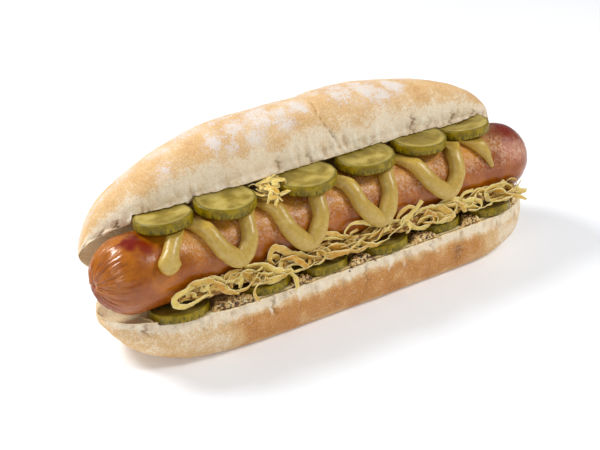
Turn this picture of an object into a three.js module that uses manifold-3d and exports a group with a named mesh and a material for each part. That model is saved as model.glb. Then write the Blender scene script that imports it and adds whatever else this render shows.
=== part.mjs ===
// A hot dog: a soft white roll, split along its front and hinged along its back, round a smoked sausage
// with two rows of pickle slices, a piped mustard line, sauerkraut and a spread of whole grain mustard.
// Millimetres, +Z up. X runs along the roll, the open front faces -Y, and the roll rests on z = 0.

import * as THREE from 'three';
import { mergeVertices } from 'three/addons/utils/BufferGeometryUtils.js';
import Module from 'manifold-3d';

// Driving dimensions
const TOUCH_GAP = 0.3;
const TOP_REACH = { left: 98, right: 98.5 };
const BOTTOM_REACH = { left: 98.5, right: 101 };
const CUT_HEIGHT = 20;
const ROLL_CENTRE_Y = 6;
const FLAT_SINK = 0.8;
const SAUSAGE_RADIUS = 15;
const SAUSAGE_LENGTH = 205;
const SAUSAGE_HEIGHT = 37;
const HINGE = { y: 27, z: 21 };
const OPEN_ANGLE_AT_HINGE = THREE.MathUtils.degToRad(97);
const OPEN_ANGLE_AT_EDGE = THREE.MathUtils.degToRad(148);
const TOP_CUT_WIDTH = 44.6;
const TOP_MIDDLE = 20.5;
const END_DROOP = 2.6;
const SCORE_LOBE = { start: 4, end: 14, fade: 70, rise: 1.4 };

// Bottom half in section, as y and z: the crust from the front edge under the roll to the back,
// then the cut face with the trough that the sausage presses into the crumb.
const BOTTOM_CRUST = [
  [-18.5, 20], [-20.4, 14], [-20.3, 7], [-17.3, 1.6], [-12, 0], [-2, 0],
  [10, 0], [21, 0], [28, 2.5], [32, 9], [32.5, 15], [31, 20],
];
const BOTTOM_CUT = [[24, 20], [15, 17.4], [8, 15.3], [2, 15.3], [-4, 16.4], [-10, 17.9], [-15, 19]];

// Top half in section, as the distance along the bent cut face from the hinge and the distance out of it.
const TOP_CRUST = [
  [44.6, 0], [47.2, 6], [47.6, 14], [44.5, 22.5], [37, 29], [27, 32],
  [15, 32], [4, 28], [-3.5, 20.5], [-7, 11], [-7, 3.5], [-5, -3],
];
const TOP_CUT = [[0, -1], [6, 2], [13, 5], [21, 6.3], [30, 5], [38, 2.2]];

// Rounding of the ends: how each half narrows and thins towards the left (x < 0) and right tip.
const WIDTH_ROUNDING = { left: [5, 1.7], right: [10, 1.9] };
const BOTTOM_DEPTH_ROUNDING = { left: [5, 2], right: [7, 2] };
const TOP_DEPTH_ROUNDING = { left: [2.8, 1.6], right: [3, 1.5] };

// Pickle slices as centre x, y, radius, sideways tilt and front tilt in degrees. The two upper slices at the
// ends have sunk by a last number of millimetres.
const UPPER_PICKLE_THICKNESS = 3.9;
const UPPER_PICKLE_HEIGHT = 53.8;
const UPPER_PICKLES = [
  [-72.4, 0.6, 11, -2, 8, 1], [-47.8, -1.4, 12, 1, -1, 0], [-12.2, -2, 12.7, -2, 1, 0],
  [17.4, -1.2, 12.2, -2, 1, 0], [45.2, 0.2, 11.9, 1, 1, 0], [70.4, 2.6, 12.1, -2, 8, 1.1],
];
const LOWER_PICKLE_THICKNESS = 3.5;
const LOWER_PICKLE_LEAN = 10;
const LOWER_PICKLES = [
  [-72, -7.2, 11.6, 1, 0], [-36.2, -7, 11.8, -1, 0], [-10, -7.6, 12.2, 1, 0],
  [20, -8.2, 12.4, -1, 0], [49.3, -6.4, 11.6, 1, 0], [76.6, -8, 11.8, -1, 0],
];

// Piped mustard: each row is one valley of the zigzag, with x on the way down at 60 and 25 degrees above the
// front of the sausage, x and angle of the turn, and x on the way up at 25 and 60 degrees.
const MUSTARD_HALF_WIDTH = 3.2;
const MUSTARD_HEIGHT = 4.7;
const MUSTARD_LINE_RADIUS = 17.5;
const MUSTARD_PRESS_RADIUS = 16.2;
const MUSTARD_START = [[-79.4, 15], [-78.2, 34], [-72.5, 62]];
const MUSTARD_VALLEYS = [
  [-60.9, -56.5, -50.5, 9, -45.7, -42.7],
  [-30.8, -27.8, -20, -1, -13.7, -11.3],
  [3, 6.1, 14.5, -2, 19.5, 22.2],
  [35.6, 41, 48.7, 6, 54, 57],
];
const MUSTARD_TAIL = [[68.6, 66], [71.2, 46], [73.8, 18]];
const MUSTARD_CREST_ANGLE = 86;

// Sauerkraut lies on a slope, in section as y and z: down the front of the sausage from where it is widest,
// then over the lower slices and their rims. Places on the slope are x, the way down it and the lift off it.
const HEAP_SLOPE = [
  [-15.1, 41], [-15.6, 37], [-15.07, 32.96], [-16.6, 29.5], [-17.6, 27],
  [-19, 25.2], [-20.6, 24.4], [-21, 22.5], [-20.3, 20.5],
];
const KRAUT_START = -76;
const KRAUT_END = 86;
const KRAUT_FLOOR = 24.9;
const STRIP_THICKNESS = 0.95;
const SPARE_STEPS = 3;

// Shreds that show, from the left: width, twist and the places that each one runs through.
const KRAUT_SHREDS = [
  [2.2, 0.5, [[-67, 2, 0.9], [-74, 3, 1.7], [-79, 6, 1.6], [-78.6, 8.6, 1.6], [-73, 9.5, 1.3], [-64, 8, 0.6]]],
  [2.8, -0.4, [[-72, 4, 0.8], [-66.5, 1.7, 1.3], [-62, 4.5, 1.3], [-57, 9.5, 1.2], [-53.5, 12, 1]]],
  [1.6, 0.8, [[-57, 10, 0.8], [-51, 11, 1.4], [-48, 9.5, 1.8], [-44, 6.5, 0.8]]],
  [1.4, 0.6, [[-56.5, 8, 0.7], [-52.5, 6, 1.7], [-48.5, 5, 0.8]]],
  [1.4, 1.1, [[-58.5, 7, 0.6], [-57, 2.6, 1.3], [-54.5, 1.7, 1.3], [-49.5, 3, 0.7]]],
  [4, 0.5, [[-48.5, 2, 0.7], [-43.5, 3, 1.4], [-40, 5.5, 1.7], [-35, 9, 1.6], [-29, 10.5, 1]]],
  [1.3, 0.4, [[-40.5, 6.5, 0.8], [-41, 9.5, 1.7], [-45, 11, 1.5], [-47, 14, 1.1], [-46, 17, 0.9]]],
  [1.6, 0.3, [[-32, 9, 0.8], [-29, 13, 1.4], [-29, 16, 1.1], [-29.5, 18, 0.9]]],
  [2.6, -0.6, [[-36, 6, 0.7], [-38, 2, 1.4], [-36.5, -2, 1.5], [-28, 2.5, 1.6], [-21, 7, 1.5], [-13, 10, 0.9]]],
  [2.3, 1.5, [[-36, 6, 0.8], [-32, 4, 1.9], [-28, 5, 2.1], [-25, 8, 2], [-22.5, 10.3, 1.6], [-20, 8, 0.7]]],
  [2, 0.3, [[-14, -1.5, 1], [-8, 0.5, 1.2], [-4, 3, 1.5], [0, 6.5, 1.5], [1.5, 9.5, 0.8]]],
  [4, 0.6, [[-16, 6.5, 0.8], [-10, 6.5, 1.7], [-5, 8.5, 1.8], [-2, 10.5, 1]]],
  [3.6, -0.7, [[-14, 8.5, 0.8], [-8.5, 9.5, 2.2], [-3.5, 10, 2.1], [3, 8.5, 0.8]]],
  [1.4, 0.8, [[-1.5, 6, 0.7], [-3.5, 1, 1.3], [0, -1.2, 1.2], [4, -0.8, 1.2], [8, 1, 1.1], [12, 4, 0.7]]],
  [2.4, -0.5, [[2, 7, 0.8], [6, 9.5, 1.6], [10, 11.5, 1.4], [17, 10.5, 0.8]]],
  [2.2, 0.7, [[17, 10, 0.8], [21, 8, 1.5], [25, 6.5, 1.6], [29, 3, 1.6], [32.5, 0.5, 1.3], [35, -1.2, 0.9]]],
  [1.6, 0.9, [[22.5, 5.5, 0.8], [24, 0.7, 1.3], [28, -0.5, 1.3], [33, 1.5, 0.8]]],
  [2.4, 1.1, [[31, 3, 0.7], [37.5, 5, 1.6], [40.5, 8, 1.8], [39.5, 10, 1.6], [35, 9, 0.8]]],
  [3.6, -0.6, [[37, 3.5, 0.8], [43.5, 5, 1.8], [47, 8, 1.8], [49.3, 10.7, 1.4], [43, 10.5, 0.8]]],
  [2.4, 0.5, [[43.5, 4, 0.7], [49, 2, 1.3], [55, 5, 1.5], [63, 9, 0.9]]],
  [2.2, -0.8, [[50, 3.5, 0.8], [54.5, 7, 1.8], [57, 10.5, 0.9]]],
  [1.8, 0.9, [[57, 5.5, 0.8], [62, 6.5, 1.6], [65.5, 9.8, 1.6], [62.5, 11.5, 1.3], [58.5, 10, 0.8]]],
  [1.9, 0.4, [[59.5, 6, 0.7], [63, 2.5, 1.5], [67, 2.5, 1.5], [72, 6, 0.8]]],
  [2.1, -0.9, [[70, 9.5, 0.8], [69, 5, 1.7], [72, 2.5, 2], [77, 3, 2], [81, 5, 1.7], [84, 9, 0.9]]],
  [4, 0.8, [[69, 6, 0.8], [74, 6, 2], [77.5, 8.5, 2.2], [79.5, 10.5, 1.8], [75, 10, 0.8]]],
  [3, 0.5, [[78, 9, 0.8], [84, 8, 1.6], [87, 9.5, 1.4], [91, 10.5, 0.9]]],
  [2, -0.5, [[79, 9, 0.8], [84, 11.5, 1.3], [87, 12.5, 1.1], [89, 14.5, 0.8]]],
];
const TUFT_SHRED_WIDTH = 2;

// Grain mustard spread on the lower cut face, with its larger seeds.
const SPREAD_START = -85;
const SPREAD_END = 92;
const SPREAD_FRONT = -17.2;
const SPREAD_BACK = 0;
const SPREAD_THICKNESS = 0.45;
const SPREAD_SEEDS = 26;
const SEED_RADIUS = 1.05;

const wasm = await Module();
wasm.setup();

function seededRandom(seed) {
  let state = seed >>> 0;
  return () => {
    state = (state + 0x6d2b79f5) >>> 0;
    let mixed = Math.imul(state ^ (state >>> 15), 1 | state);
    mixed = (mixed + Math.imul(mixed ^ (mixed >>> 7), 61 | mixed)) ^ mixed;
    return ((mixed ^ (mixed >>> 14)) >>> 0) / 4294967296;
  };
}

function between(random, low, high) {
  return low + (high - low) * random();
}

function smoothStep(low, high, value) {
  return THREE.MathUtils.smoothstep(value, low, high);
}

// Solids

// A closed body through rings of equal point count, fanned to a tip at each end.
function loft(rings, startTip, endTip) {
  const count = rings[0].length;
  const positions = [...rings.flat(), startTip, endTip].flat();
  const startIndex = rings.length * count;
  const endIndex = startIndex + 1;
  const lastRing = (rings.length - 1) * count;
  const triangles = [];
  for (let ring = 0; ring < rings.length - 1; ring += 1) {
    for (let side = 0; side < count; side += 1) {
      const next = (side + 1) % count;
      const a = ring * count + side;
      const b = ring * count + next;
      triangles.push(a, b, b + count, a, b + count, a + count);
    }
  }
  for (let side = 0; side < count; side += 1) {
    const next = (side + 1) % count;
    triangles.push(startIndex, next, side, endIndex, lastRing + side, lastRing + next);
  }
  const geometry = new THREE.BufferGeometry();
  geometry.setAttribute('position', new THREE.Float32BufferAttribute(positions, 3));
  geometry.setIndex(triangles);
  return geometry;
}

function signedVolume(positions, triangles) {
  const corner = (index) => new THREE.Vector3().fromArray(positions, 3 * index);
  let volume = 0;
  for (let start = 0; start < triangles.length; start += 3) {
    const [a, b, c] = [corner(triangles[start]), corner(triangles[start + 1]), corner(triangles[start + 2])];
    volume += a.dot(b.cross(c)) / 6;
  }
  return volume;
}

function toSolid(source) {
  const geometry = source.clone();
  geometry.deleteAttribute('normal');
  geometry.deleteAttribute('uv');
  const merged = mergeVertices(geometry, 1e-4);
  const vertProperties = new Float32Array(merged.getAttribute('position').array);
  const triVerts = new Uint32Array(merged.getIndex().array);
  if (signedVolume(vertProperties, triVerts) < 0) triVerts.reverse();
  return new wasm.Manifold(new wasm.Mesh({ numProp: 3, vertProperties, triVerts }));
}

function toGeometry(solid) {
  const mesh = solid.getMesh();
  const geometry = new THREE.BufferGeometry();
  geometry.setAttribute('position', new THREE.BufferAttribute(new Float32Array(mesh.vertProperties), 3));
  geometry.setIndex(new THREE.BufferAttribute(new Uint32Array(mesh.triVerts), 1));
  return geometry;
}

function largestPiece(solid) {
  const pieces = solid.decompose();
  return pieces.reduce((best, piece) => (piece.volume() > best.volume() ? piece : best));
}

// A smooth line through hand-set points in a plane.
function smoothProfile(points, divisions) {
  const curve = new THREE.SplineCurve(points.map(([u, v]) => new THREE.Vector2(u, v)));
  return curve.getPoints(divisions).map((point) => [point.x, point.y]);
}

// A smooth line through hand-set points in space.
function smoothLine(points) {
  const places = points.map((point) => new THREE.Vector3(...point));
  return new THREE.CatmullRomCurve3(places, false, 'centripetal');
}

function midpoint(a, b) {
  return a.map((value, axis) => (value + b[axis]) / 2);
}

// Roll

function roundedShare(x, reach, rounding) {
  const [power, root] = x < 0 ? rounding.left : rounding.right;
  const share = Math.min(1, Math.abs(x) / (x < 0 ? reach.left : reach.right));
  return (1 - share ** power) ** (1 / root);
}

// Stations along the roll, closer together at the tips.
function rollStations(count, reach) {
  const stations = [];
  for (let step = 1; step <= count; step += 1) {
    const share = Math.sin((2 * step / (count + 1) - 1) * Math.PI / 2);
    stations.push(share * (share < 0 ? reach.left : reach.right));
  }
  return stations;
}

function bottomHalf(stationCount) {
  const section = [...smoothProfile(BOTTOM_CRUST, 20), ...BOTTOM_CUT];
  const rings = rollStations(stationCount, BOTTOM_REACH).map((x) => {
    const width = roundedShare(x, BOTTOM_REACH, WIDTH_ROUNDING);
    const depth = roundedShare(x, BOTTOM_REACH, BOTTOM_DEPTH_ROUNDING);
    return section.map(([y, z]) => [
      x,
      ROLL_CENTRE_Y + (y - ROLL_CENTRE_Y) * width,
      Math.max(0, CUT_HEIGHT - (CUT_HEIGHT + (z < CUT_HEIGHT / 2 ? FLAT_SINK : 0) - Math.max(0, z)) * depth),
    ]);
  });
  const tip = (x) => [x, ROLL_CENTRE_Y, CUT_HEIGHT];
  return loft(rings, tip(-BOTTOM_REACH.left), tip(BOTTOM_REACH.right));
}

// The cut face of the top half bends evenly from the hinge to the front edge.
function onTopCut(along, out, x) {
  const bend = (OPEN_ANGLE_AT_EDGE - OPEN_ANGLE_AT_HINGE) / TOP_CUT_WIDTH;
  const angle = OPEN_ANGLE_AT_HINGE + bend * along;
  const y = HINGE.y + (Math.sin(angle) - Math.sin(OPEN_ANGLE_AT_HINGE)) / bend;
  const z = HINGE.z - (Math.cos(angle) - Math.cos(OPEN_ANGLE_AT_HINGE)) / bend;
  const droop = END_DROOP * (x / 90) ** 2 * THREE.MathUtils.clamp(along / TOP_CUT_WIDTH, 0, 1);
  return [x, y + out * Math.sin(angle), z - out * Math.cos(angle) - droop];
}

// To the right of the score across its crown the crust has risen a little more.
function scoreLobe(x, along, out) {
  const risen = smoothStep(SCORE_LOBE.start, SCORE_LOBE.end, x);
  const faded = smoothStep(SCORE_LOBE.end, SCORE_LOBE.fade, x);
  return SCORE_LOBE.rise * risen * (1 - faded) * smoothStep(18, 28, out) * smoothStep(4, 20, along);
}

function topHalf(stationCount) {
  const section = [...smoothProfile(TOP_CRUST, 20), ...TOP_CUT];
  const rings = rollStations(stationCount, TOP_REACH).map((x) => {
    const width = roundedShare(x, TOP_REACH, WIDTH_ROUNDING);
    const depth = roundedShare(x, TOP_REACH, TOP_DEPTH_ROUNDING);
    return section.map(([along, out]) => onTopCut(
      TOP_MIDDLE + (along - TOP_MIDDLE) * width,
      out * depth + scoreLobe(x, along, out),
      x,
    ));
  });
  const tip = (x) => onTopCut(TOP_MIDDLE, 0, x);
  return loft(rings, tip(-TOP_REACH.left), tip(TOP_REACH.right));
}

// Sausage

function sausageShape(grow) {
  const radius = SAUSAGE_RADIUS + grow;
  const length = SAUSAGE_LENGTH + 2 * grow;
  const straight = length / 2 - radius;
  const sides = 24;
  const endSteps = 5;
  const middleSteps = 9;
  const profile = [];
  for (let step = 1; step <= endSteps; step += 1) {
    const angle = (step / endSteps) * Math.PI / 2;
    profile.push([-straight - radius * Math.cos(angle), radius * Math.sin(angle)]);
  }
  for (let step = 1; step < middleSteps; step += 1) {
    profile.push([-straight + (2 * straight * step) / middleSteps, radius]);
  }
  for (let step = endSteps; step >= 1; step -= 1) {
    const angle = (step / endSteps) * Math.PI / 2;
    profile.push([straight + radius * Math.cos(angle), radius * Math.sin(angle)]);
  }
  const rings = profile.map(([x, ringRadius]) => {
    const ring = [];
    for (let side = 0; side < sides; side += 1) {
      const angle = (side / sides) * 2 * Math.PI;
      ring.push([x, -ringRadius * Math.cos(angle), SAUSAGE_HEIGHT + ringRadius * Math.sin(angle)]);
    }
    return ring;
  });
  const dimple = 0.05 * radius;
  return loft(rings, [-length / 2 + dimple, 0, SAUSAGE_HEIGHT], [length / 2 - dimple, 0, SAUSAGE_HEIGHT]);
}

// Pickles

// A slice with a slightly scalloped, rounded rim, built round its own axis.
function pickleSlice(radius, thickness, random) {
  const sides = 16;
  const phase = between(random, 0, 2 * Math.PI);
  const oval = between(random, 0.95, 1);
  const levels = [[0.94, 0], [1, 0.3], [1, 0.7], [0.93, 1]];
  const rings = levels.map(([share, level]) => {
    const ring = [];
    for (let side = 0; side < sides; side += 1) {
      const angle = (side / sides) * 2 * Math.PI;
      const reach = radius * share * (1 + 0.012 * Math.cos(5 * angle + phase));
      ring.push([reach * Math.cos(angle), oval * reach * Math.sin(angle), level * thickness]);
    }
    return ring;
  });
  return loft(rings, [0, 0, 0.1], [0, 0, thickness - 0.25]);
}

function placedPickle(slice, x, y, z, tiltX, tiltY) {
  const place = new THREE.Matrix4().makeRotationFromEuler(new THREE.Euler(
    THREE.MathUtils.degToRad(tiltX),
    THREE.MathUtils.degToRad(tiltY),
    0,
  ));
  place.setPosition(x, y, z);
  return slice.clone().applyMatrix4(place);
}

// Height of the underside of a lower slice, which leans back and passes just under the sausage.
function lowerPickleHeight(y) {
  const lean = THREE.MathUtils.degToRad(LOWER_PICKLE_LEAN);
  const drop = (SAUSAGE_RADIUS + 2 * TOUCH_GAP + LOWER_PICKLE_THICKNESS) / Math.cos(lean);
  return SAUSAGE_HEIGHT - drop - y * Math.tan(lean);
}

// Shapes of all slices of a row, grown by an allowance for the hollows that they press into soft neighbours.
function upperPickles(grow) {
  const random = seededRandom(11);
  return UPPER_PICKLES.map(([x, y, radius, sideTilt, frontTilt, sunk]) => {
    const slice = pickleSlice(radius + grow, UPPER_PICKLE_THICKNESS + 2 * grow, random);
    return placedPickle(slice, x, y, UPPER_PICKLE_HEIGHT - sunk - grow, -frontTilt, sideTilt);
  });
}

function lowerPickles(grow) {
  const random = seededRandom(23);
  return LOWER_PICKLES.map(([x, y, radius, sideTilt, frontTilt]) => {
    const slice = pickleSlice(radius + grow, LOWER_PICKLE_THICKNESS + 2 * grow, random);
    return placedPickle(slice, x, y, lowerPickleHeight(y) - grow, -LOWER_PICKLE_LEAN + frontTilt, sideTilt);
  });
}

// Piped mustard

// The centre line in the plane of x and distance round the sausage.
function mustardLine() {
  const around = (angle) => MUSTARD_LINE_RADIUS * THREE.MathUtils.degToRad(angle);
  const points = MUSTARD_START.map(([x, angle]) => [x, around(angle)]);
  let leaveX = MUSTARD_START.at(-1)[0];
  MUSTARD_VALLEYS.forEach(([downHigh, downLow, turnX, turnAngle, upLow, upHigh]) => {
    points.push([(leaveX + downHigh) / 2, around(MUSTARD_CREST_ANGLE)]);
    points.push([downHigh, around(60)], [downLow, around(25)], [turnX, around(turnAngle)]);
    points.push([upLow, around(25)], [upHigh, around(60)]);
    leaveX = upHigh;
  });
  points.push([(leaveX + MUSTARD_TAIL[0][0]) / 2, around(MUSTARD_CREST_ANGLE)]);
  MUSTARD_TAIL.forEach(([x, angle]) => points.push([x, around(angle)]));
  return smoothLine(points.map(([x, arc]) => [x, arc, 0]));
}

// How wide the bead is along its line: a round blob at the start, fuller where it turns low on the sausage,
// and a point at the tail.
function mustardWidth(share, angle) {
  const blob = 1 + 0.42 * (1 - smoothStep(0.012, 0.05, share));
  const pooled = 1 + 0.16 * (1 - smoothStep(0.15, 0.6, angle));
  const start = Math.sqrt(Math.min(1, (share + 0.002) / 0.014));
  const tail = 0.26 + 0.74 * (1 - smoothStep(0.955, 1, share));
  return MUSTARD_HALF_WIDTH * Math.max(blob, pooled) * start * tail;
}

function mustardBead(steps, grow) {
  const line = mustardLine();
  const floorRadius = SAUSAGE_RADIUS + TOUCH_GAP + 0.1 - grow;
  const section = [[-0.9, 0], [-1, 0.38], [-0.68, 0.82], [0, 1], [0.68, 0.82], [1, 0.38], [0.9, 0], [0, 0]];
  const rings = [];
  for (let step = 0; step <= steps; step += 1) {
    const share = step / steps;
    const point = line.getPointAt(share);
    const tangent = line.getTangentAt(share);
    const halfWidth = mustardWidth(share, point.y / MUSTARD_LINE_RADIUS) + grow;
    const freeHeight = MUSTARD_HEIGHT * Math.min(1, halfWidth / MUSTARD_HALF_WIDTH) + grow;
    rings.push(section.map(([across, up]) => {
      const x = point.x - tangent.y * across * halfWidth;
      const angle = (point.y + tangent.x * across * halfWidth) / MUSTARD_LINE_RADIUS;
      const slope = Math.sin(THREE.MathUtils.clamp(angle, 0.4, Math.PI - 0.4));
      const pressed = Math.max(MUSTARD_PRESS_RADIUS / slope + grow, floorRadius + up);
      const radius = Math.min(floorRadius + up * freeHeight, pressed);
      return [x, -radius * Math.cos(angle), SAUSAGE_HEIGHT + radius * Math.sin(angle)];
    }));
  }
  const [first, last] = [rings[0], rings.at(-1)];
  return loft(rings, midpoint(first[3], first[7]), midpoint(last[3], last[7]));
}

// Sauerkraut

// The slope as short steps, with the way down to each step from where the sausage is widest.
const slopeSteps = smoothProfile(HEAP_SLOPE, 48);
const slopeWays = [0];
for (let step = 1; step < slopeSteps.length; step += 1) {
  const [[y0, z0], [y1, z1]] = [slopeSteps[step - 1], slopeSteps[step]];
  slopeWays.push(slopeWays.at(-1) + Math.hypot(y1 - y0, z1 - z0));
}
const slopeZero = slopeWays[48 / (HEAP_SLOPE.length - 1)];

function onSlope(x, down, lift) {
  const way = THREE.MathUtils.clamp(down + slopeZero, 0.01, slopeWays.at(-1) - 0.01);
  const next = slopeWays.findIndex((reached) => reached >= way);
  const [[y0, z0], [y1, z1]] = [slopeSteps[next - 1], slopeSteps[next]];
  const length = slopeWays[next] - slopeWays[next - 1];
  const share = (way - slopeWays[next - 1]) / length;
  const [outY, outZ] = [(z1 - z0) / length, (y0 - y1) / length];
  return [x, y0 + (y1 - y0) * share + lift * outY, z0 + (z1 - z0) * share + lift * outZ];
}

// The packed inner shreds, between the sausage, the slices and the slope.
function krautCore(stationCount) {
  const inner = SAUSAGE_RADIUS + 0.4;
  const rings = [];
  for (let step = 0; step <= stationCount; step += 1) {
    const share = step / stationCount;
    const x = THREE.MathUtils.lerp(KRAUT_START, KRAUT_END, share);
    const ends = Math.sqrt(Math.sin(Math.PI * THREE.MathUtils.clamp(share, 0.01, 0.99)));
    const full = 0.35 + 0.3 * Math.sin(0.31 * x) + 0.2 * Math.sin(0.83 * x + 1);
    const top = 5.4 + Math.sin(0.19 * x + 2) + 0.8 * Math.sin(0.47 * x) - ends;
    const foot = 9.3 + ends + 0.8 * Math.sin(0.27 * x);
    const outside = [top, (2 * top + foot) / 3, (top + 2 * foot) / 3, foot]
      .map((down, index) => onSlope(x, down, full * [0.2, 1, 1, 0.6][index]));
    const inside = [-46, -36, -26, -19].map((angle) => {
      const turn = THREE.MathUtils.degToRad(angle);
      return [x, -inner * Math.cos(turn), SAUSAGE_HEIGHT + inner * Math.sin(turn)];
    });
    rings.push([...outside, ...inside].map(([px, y, z]) => [px, y, Math.max(KRAUT_FLOOR, z)]));
  }
  const [first, last] = [rings[0], rings.at(-1)];
  return loft(rings, midpoint(first[1], first[6]), midpoint(last[1], last[6]));
}

// A flat shred along a smooth line, turned slowly about it.
function strip(points, width, thickness, twist) {
  const curve = smoothLine(points);
  const steps = points.length + SPARE_STEPS;
  const rings = [];
  for (let step = 0; step <= steps; step += 1) {
    const share = step / steps;
    const centre = curve.getPointAt(share);
    const tangent = curve.getTangentAt(share);
    const outward = new THREE.Vector3(0, centre.y, centre.z - SAUSAGE_HEIGHT).normalize();
    const side = new THREE.Vector3().crossVectors(tangent, outward).normalize();
    side.applyAxisAngle(tangent, twist * (share - 0.5));
    const face = new THREE.Vector3().crossVectors(side, tangent).normalize();
    const taper = 0.55 + 0.45 * Math.sin(Math.PI * THREE.MathUtils.clamp(share, 0.06, 0.94));
    const corners = [[-1, -1], [1, -1], [1, 1], [-1, 1]];
    rings.push(corners.map(([across, up]) => centre.clone()
      .addScaledVector(side, across * taper * width / 2)
      .addScaledVector(face, up * thickness / 2)
      .toArray()));
  }
  return loft(rings, curve.getPointAt(0).toArray(), curve.getPointAt(1).toArray());
}

// A few shreds that stand up between the second and third upper slice.
const TUFT_PLACE = [-30.6, -5.5, 55];
const TUFT_SHREDS = [
  [[-3.6, -4.4, -0.6], [-1.4, -3.4, 2.6], [1.4, -1.4, 3], [2.6, 1.6, 1]],
  [[2.4, -5.6, -0.8], [0.4, -2.8, 2], [-1.8, -0.4, 3.4], [-2.6, 2.4, 1.4]],
  [[-1.6, -6.6, -1.2], [0.6, -4, 1.2], [0.4, -0.8, 2.2], [-0.6, 2.6, 0.8]],
];

function krautTuft() {
  const [baseX, baseY, baseZ] = TUFT_PLACE;
  const core = new THREE.SphereGeometry(1, 8, 6).scale(2.1, 4.4, 1.7);
  core.translate(baseX, baseY + 0.2, baseZ + 1);
  const shreds = TUFT_SHREDS.map((points) => {
    const placed = points.map(([x, y, z]) => [baseX + x, baseY + y, baseZ + z]);
    return strip(placed, TUFT_SHRED_WIDTH, STRIP_THICKNESS, 1.2);
  });
  return shreds.map(toSolid).reduce((sum, shred) => sum.add(shred), toSolid(core));
}

// Grain mustard

// Height of the lower cut face, with the trough, at any place on it.
function cutFaceHeight(x, y) {
  const width = roundedShare(x, BOTTOM_REACH, WIDTH_ROUNDING);
  const depth = roundedShare(x, BOTTOM_REACH, BOTTOM_DEPTH_ROUNDING);
  const across = ROLL_CENTRE_Y + (y - ROLL_CENTRE_Y) / width;
  const line = [BOTTOM_CRUST[0], ...BOTTOM_CUT.toReversed(), BOTTOM_CRUST.at(-1)];
  const next = line.findIndex(([lineY]) => across <= lineY);
  if (next < 1) return CUT_HEIGHT;
  const [[y0, z0], [y1, z1]] = [line[next - 1], line[next]];
  return CUT_HEIGHT - (CUT_HEIGHT - THREE.MathUtils.mapLinear(across, y0, y1, z0, z1)) * depth;
}

// The spread is thin under the slices and thicker between them.
function spreadThickness(x, y, random) {
  const nearest = Math.min(...LOWER_PICKLES.map(([px, py, radius]) => Math.hypot(x - px, y - py) - radius));
  const free = smoothStep(0.8, 3, nearest) * smoothStep(2, 8, -y);
  return SPREAD_THICKNESS + free * between(random, 0.9, 2);
}

function grainSpread(stationCount) {
  const random = seededRandom(31);
  const columns = [0, 0.12, 0.25, 0.4, 0.6, 0.8, 1];
  const rings = [];
  for (let step = 0; step <= stationCount; step += 1) {
    const share = step / stationCount;
    const x = THREE.MathUtils.lerp(SPREAD_START, SPREAD_END, share);
    const ends = Math.sqrt(Math.sin(Math.PI * THREE.MathUtils.clamp(share, 0.012, 0.988)));
    const roomy = SPREAD_FRONT * roundedShare(x, BOTTOM_REACH, WIDTH_ROUNDING);
    const front = roomy + 3 * (1 - ends) + between(random, -0.5, 0.5);
    const top = columns.map((column) => {
      const y = THREE.MathUtils.lerp(front, SPREAD_BACK, column);
      const edge = column === 0 || column === 1 ? 0.5 : 1;
      return [x, y, cutFaceHeight(x, y) + TOUCH_GAP + edge * spreadThickness(x, y, random)];
    });
    const under = [1, 0.6, 0.25, 0].map((column) => {
      const y = THREE.MathUtils.lerp(front, SPREAD_BACK, column);
      return [x, y, cutFaceHeight(x, y) + TOUCH_GAP];
    });
    rings.push([...top, ...under]);
  }
  const [first, last] = [rings[0], rings.at(-1)];
  return loft(rings, midpoint(first[2], first[9]), midpoint(last[2], last[9]));
}

// Larger seeds half sunk into the spread where no slice covers it.
function spreadSeeds() {
  const random = seededRandom(47);
  const seeds = [];
  while (seeds.length < SPREAD_SEEDS) {
    const x = between(random, SPREAD_START + 8, SPREAD_END - 6);
    const y = between(random, -16.2, -12);
    const covered = LOWER_PICKLES.some(([px, py, radius]) => Math.hypot(x - px, y - py) < radius + 1.6);
    if (covered) continue;
    const seed = new THREE.OctahedronGeometry(SEED_RADIUS * between(random, 0.85, 1.15), 0);
    seed.rotateX(between(random, 0, 3)).rotateY(between(random, 0, 3));
    seed.translate(x, y, cutFaceHeight(x, y) + TOUCH_GAP + SPREAD_THICKNESS + 0.8);
    seeds.push(seed);
  }
  return seeds;
}

// Fitting the pieces to each other

const sausage = toSolid(sausageShape(0));
const sausageRoom = toSolid(sausageShape(TOUCH_GAP));
const upperSlices = upperPickles(0).map(toSolid);
const upperRooms = upperPickles(TOUCH_GAP).map(toSolid);
const lowerSlices = lowerPickles(0).map(toSolid);
const lowerRooms = lowerPickles(TOUCH_GAP).map(toSolid);

function without(solid, rooms) {
  return rooms.reduce((rest, room) => rest.subtract(room), solid);
}

const sunkRooms = upperRooms.filter((_, index) => UPPER_PICKLES[index][5] > 0);
const mustard = largestPiece(without(toSolid(mustardBead(84, 0)), sunkRooms));
const mustardRoom = toSolid(mustardBead(84, TOUCH_GAP));

const roll = largestPiece(without(
  toSolid(bottomHalf(28)).add(toSolid(topHalf(30))),
  [sausageRoom, ...upperRooms, ...lowerRooms, mustardRoom],
));

const bareSpread = spreadSeeds().map(toSolid).reduce((sum, seed) => sum.add(seed), toSolid(grainSpread(44)));
const spread = largestPiece(without(bareSpread, [sausageRoom, ...lowerRooms]));
const spreadRoom = toSolid(toGeometry(spread).translate(0, 0, TOUCH_GAP));

const shreds = KRAUT_SHREDS.map(([width, twist, places]) => {
  const points = places.map(([x, down, lift]) => onSlope(x, down, lift));
  return toSolid(strip(points, width, STRIP_THICKNESS, twist));
});
const krautHeap = shreds.reduce((sum, shred) => sum.add(shred), toSolid(krautCore(24)));
const kraut = largestPiece(without(krautHeap, [sausageRoom, mustardRoom, spreadRoom, ...lowerRooms]));
const tuft = largestPiece(without(krautTuft(), [sausageRoom, mustardRoom, ...upperRooms]));

// Finishes

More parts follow.
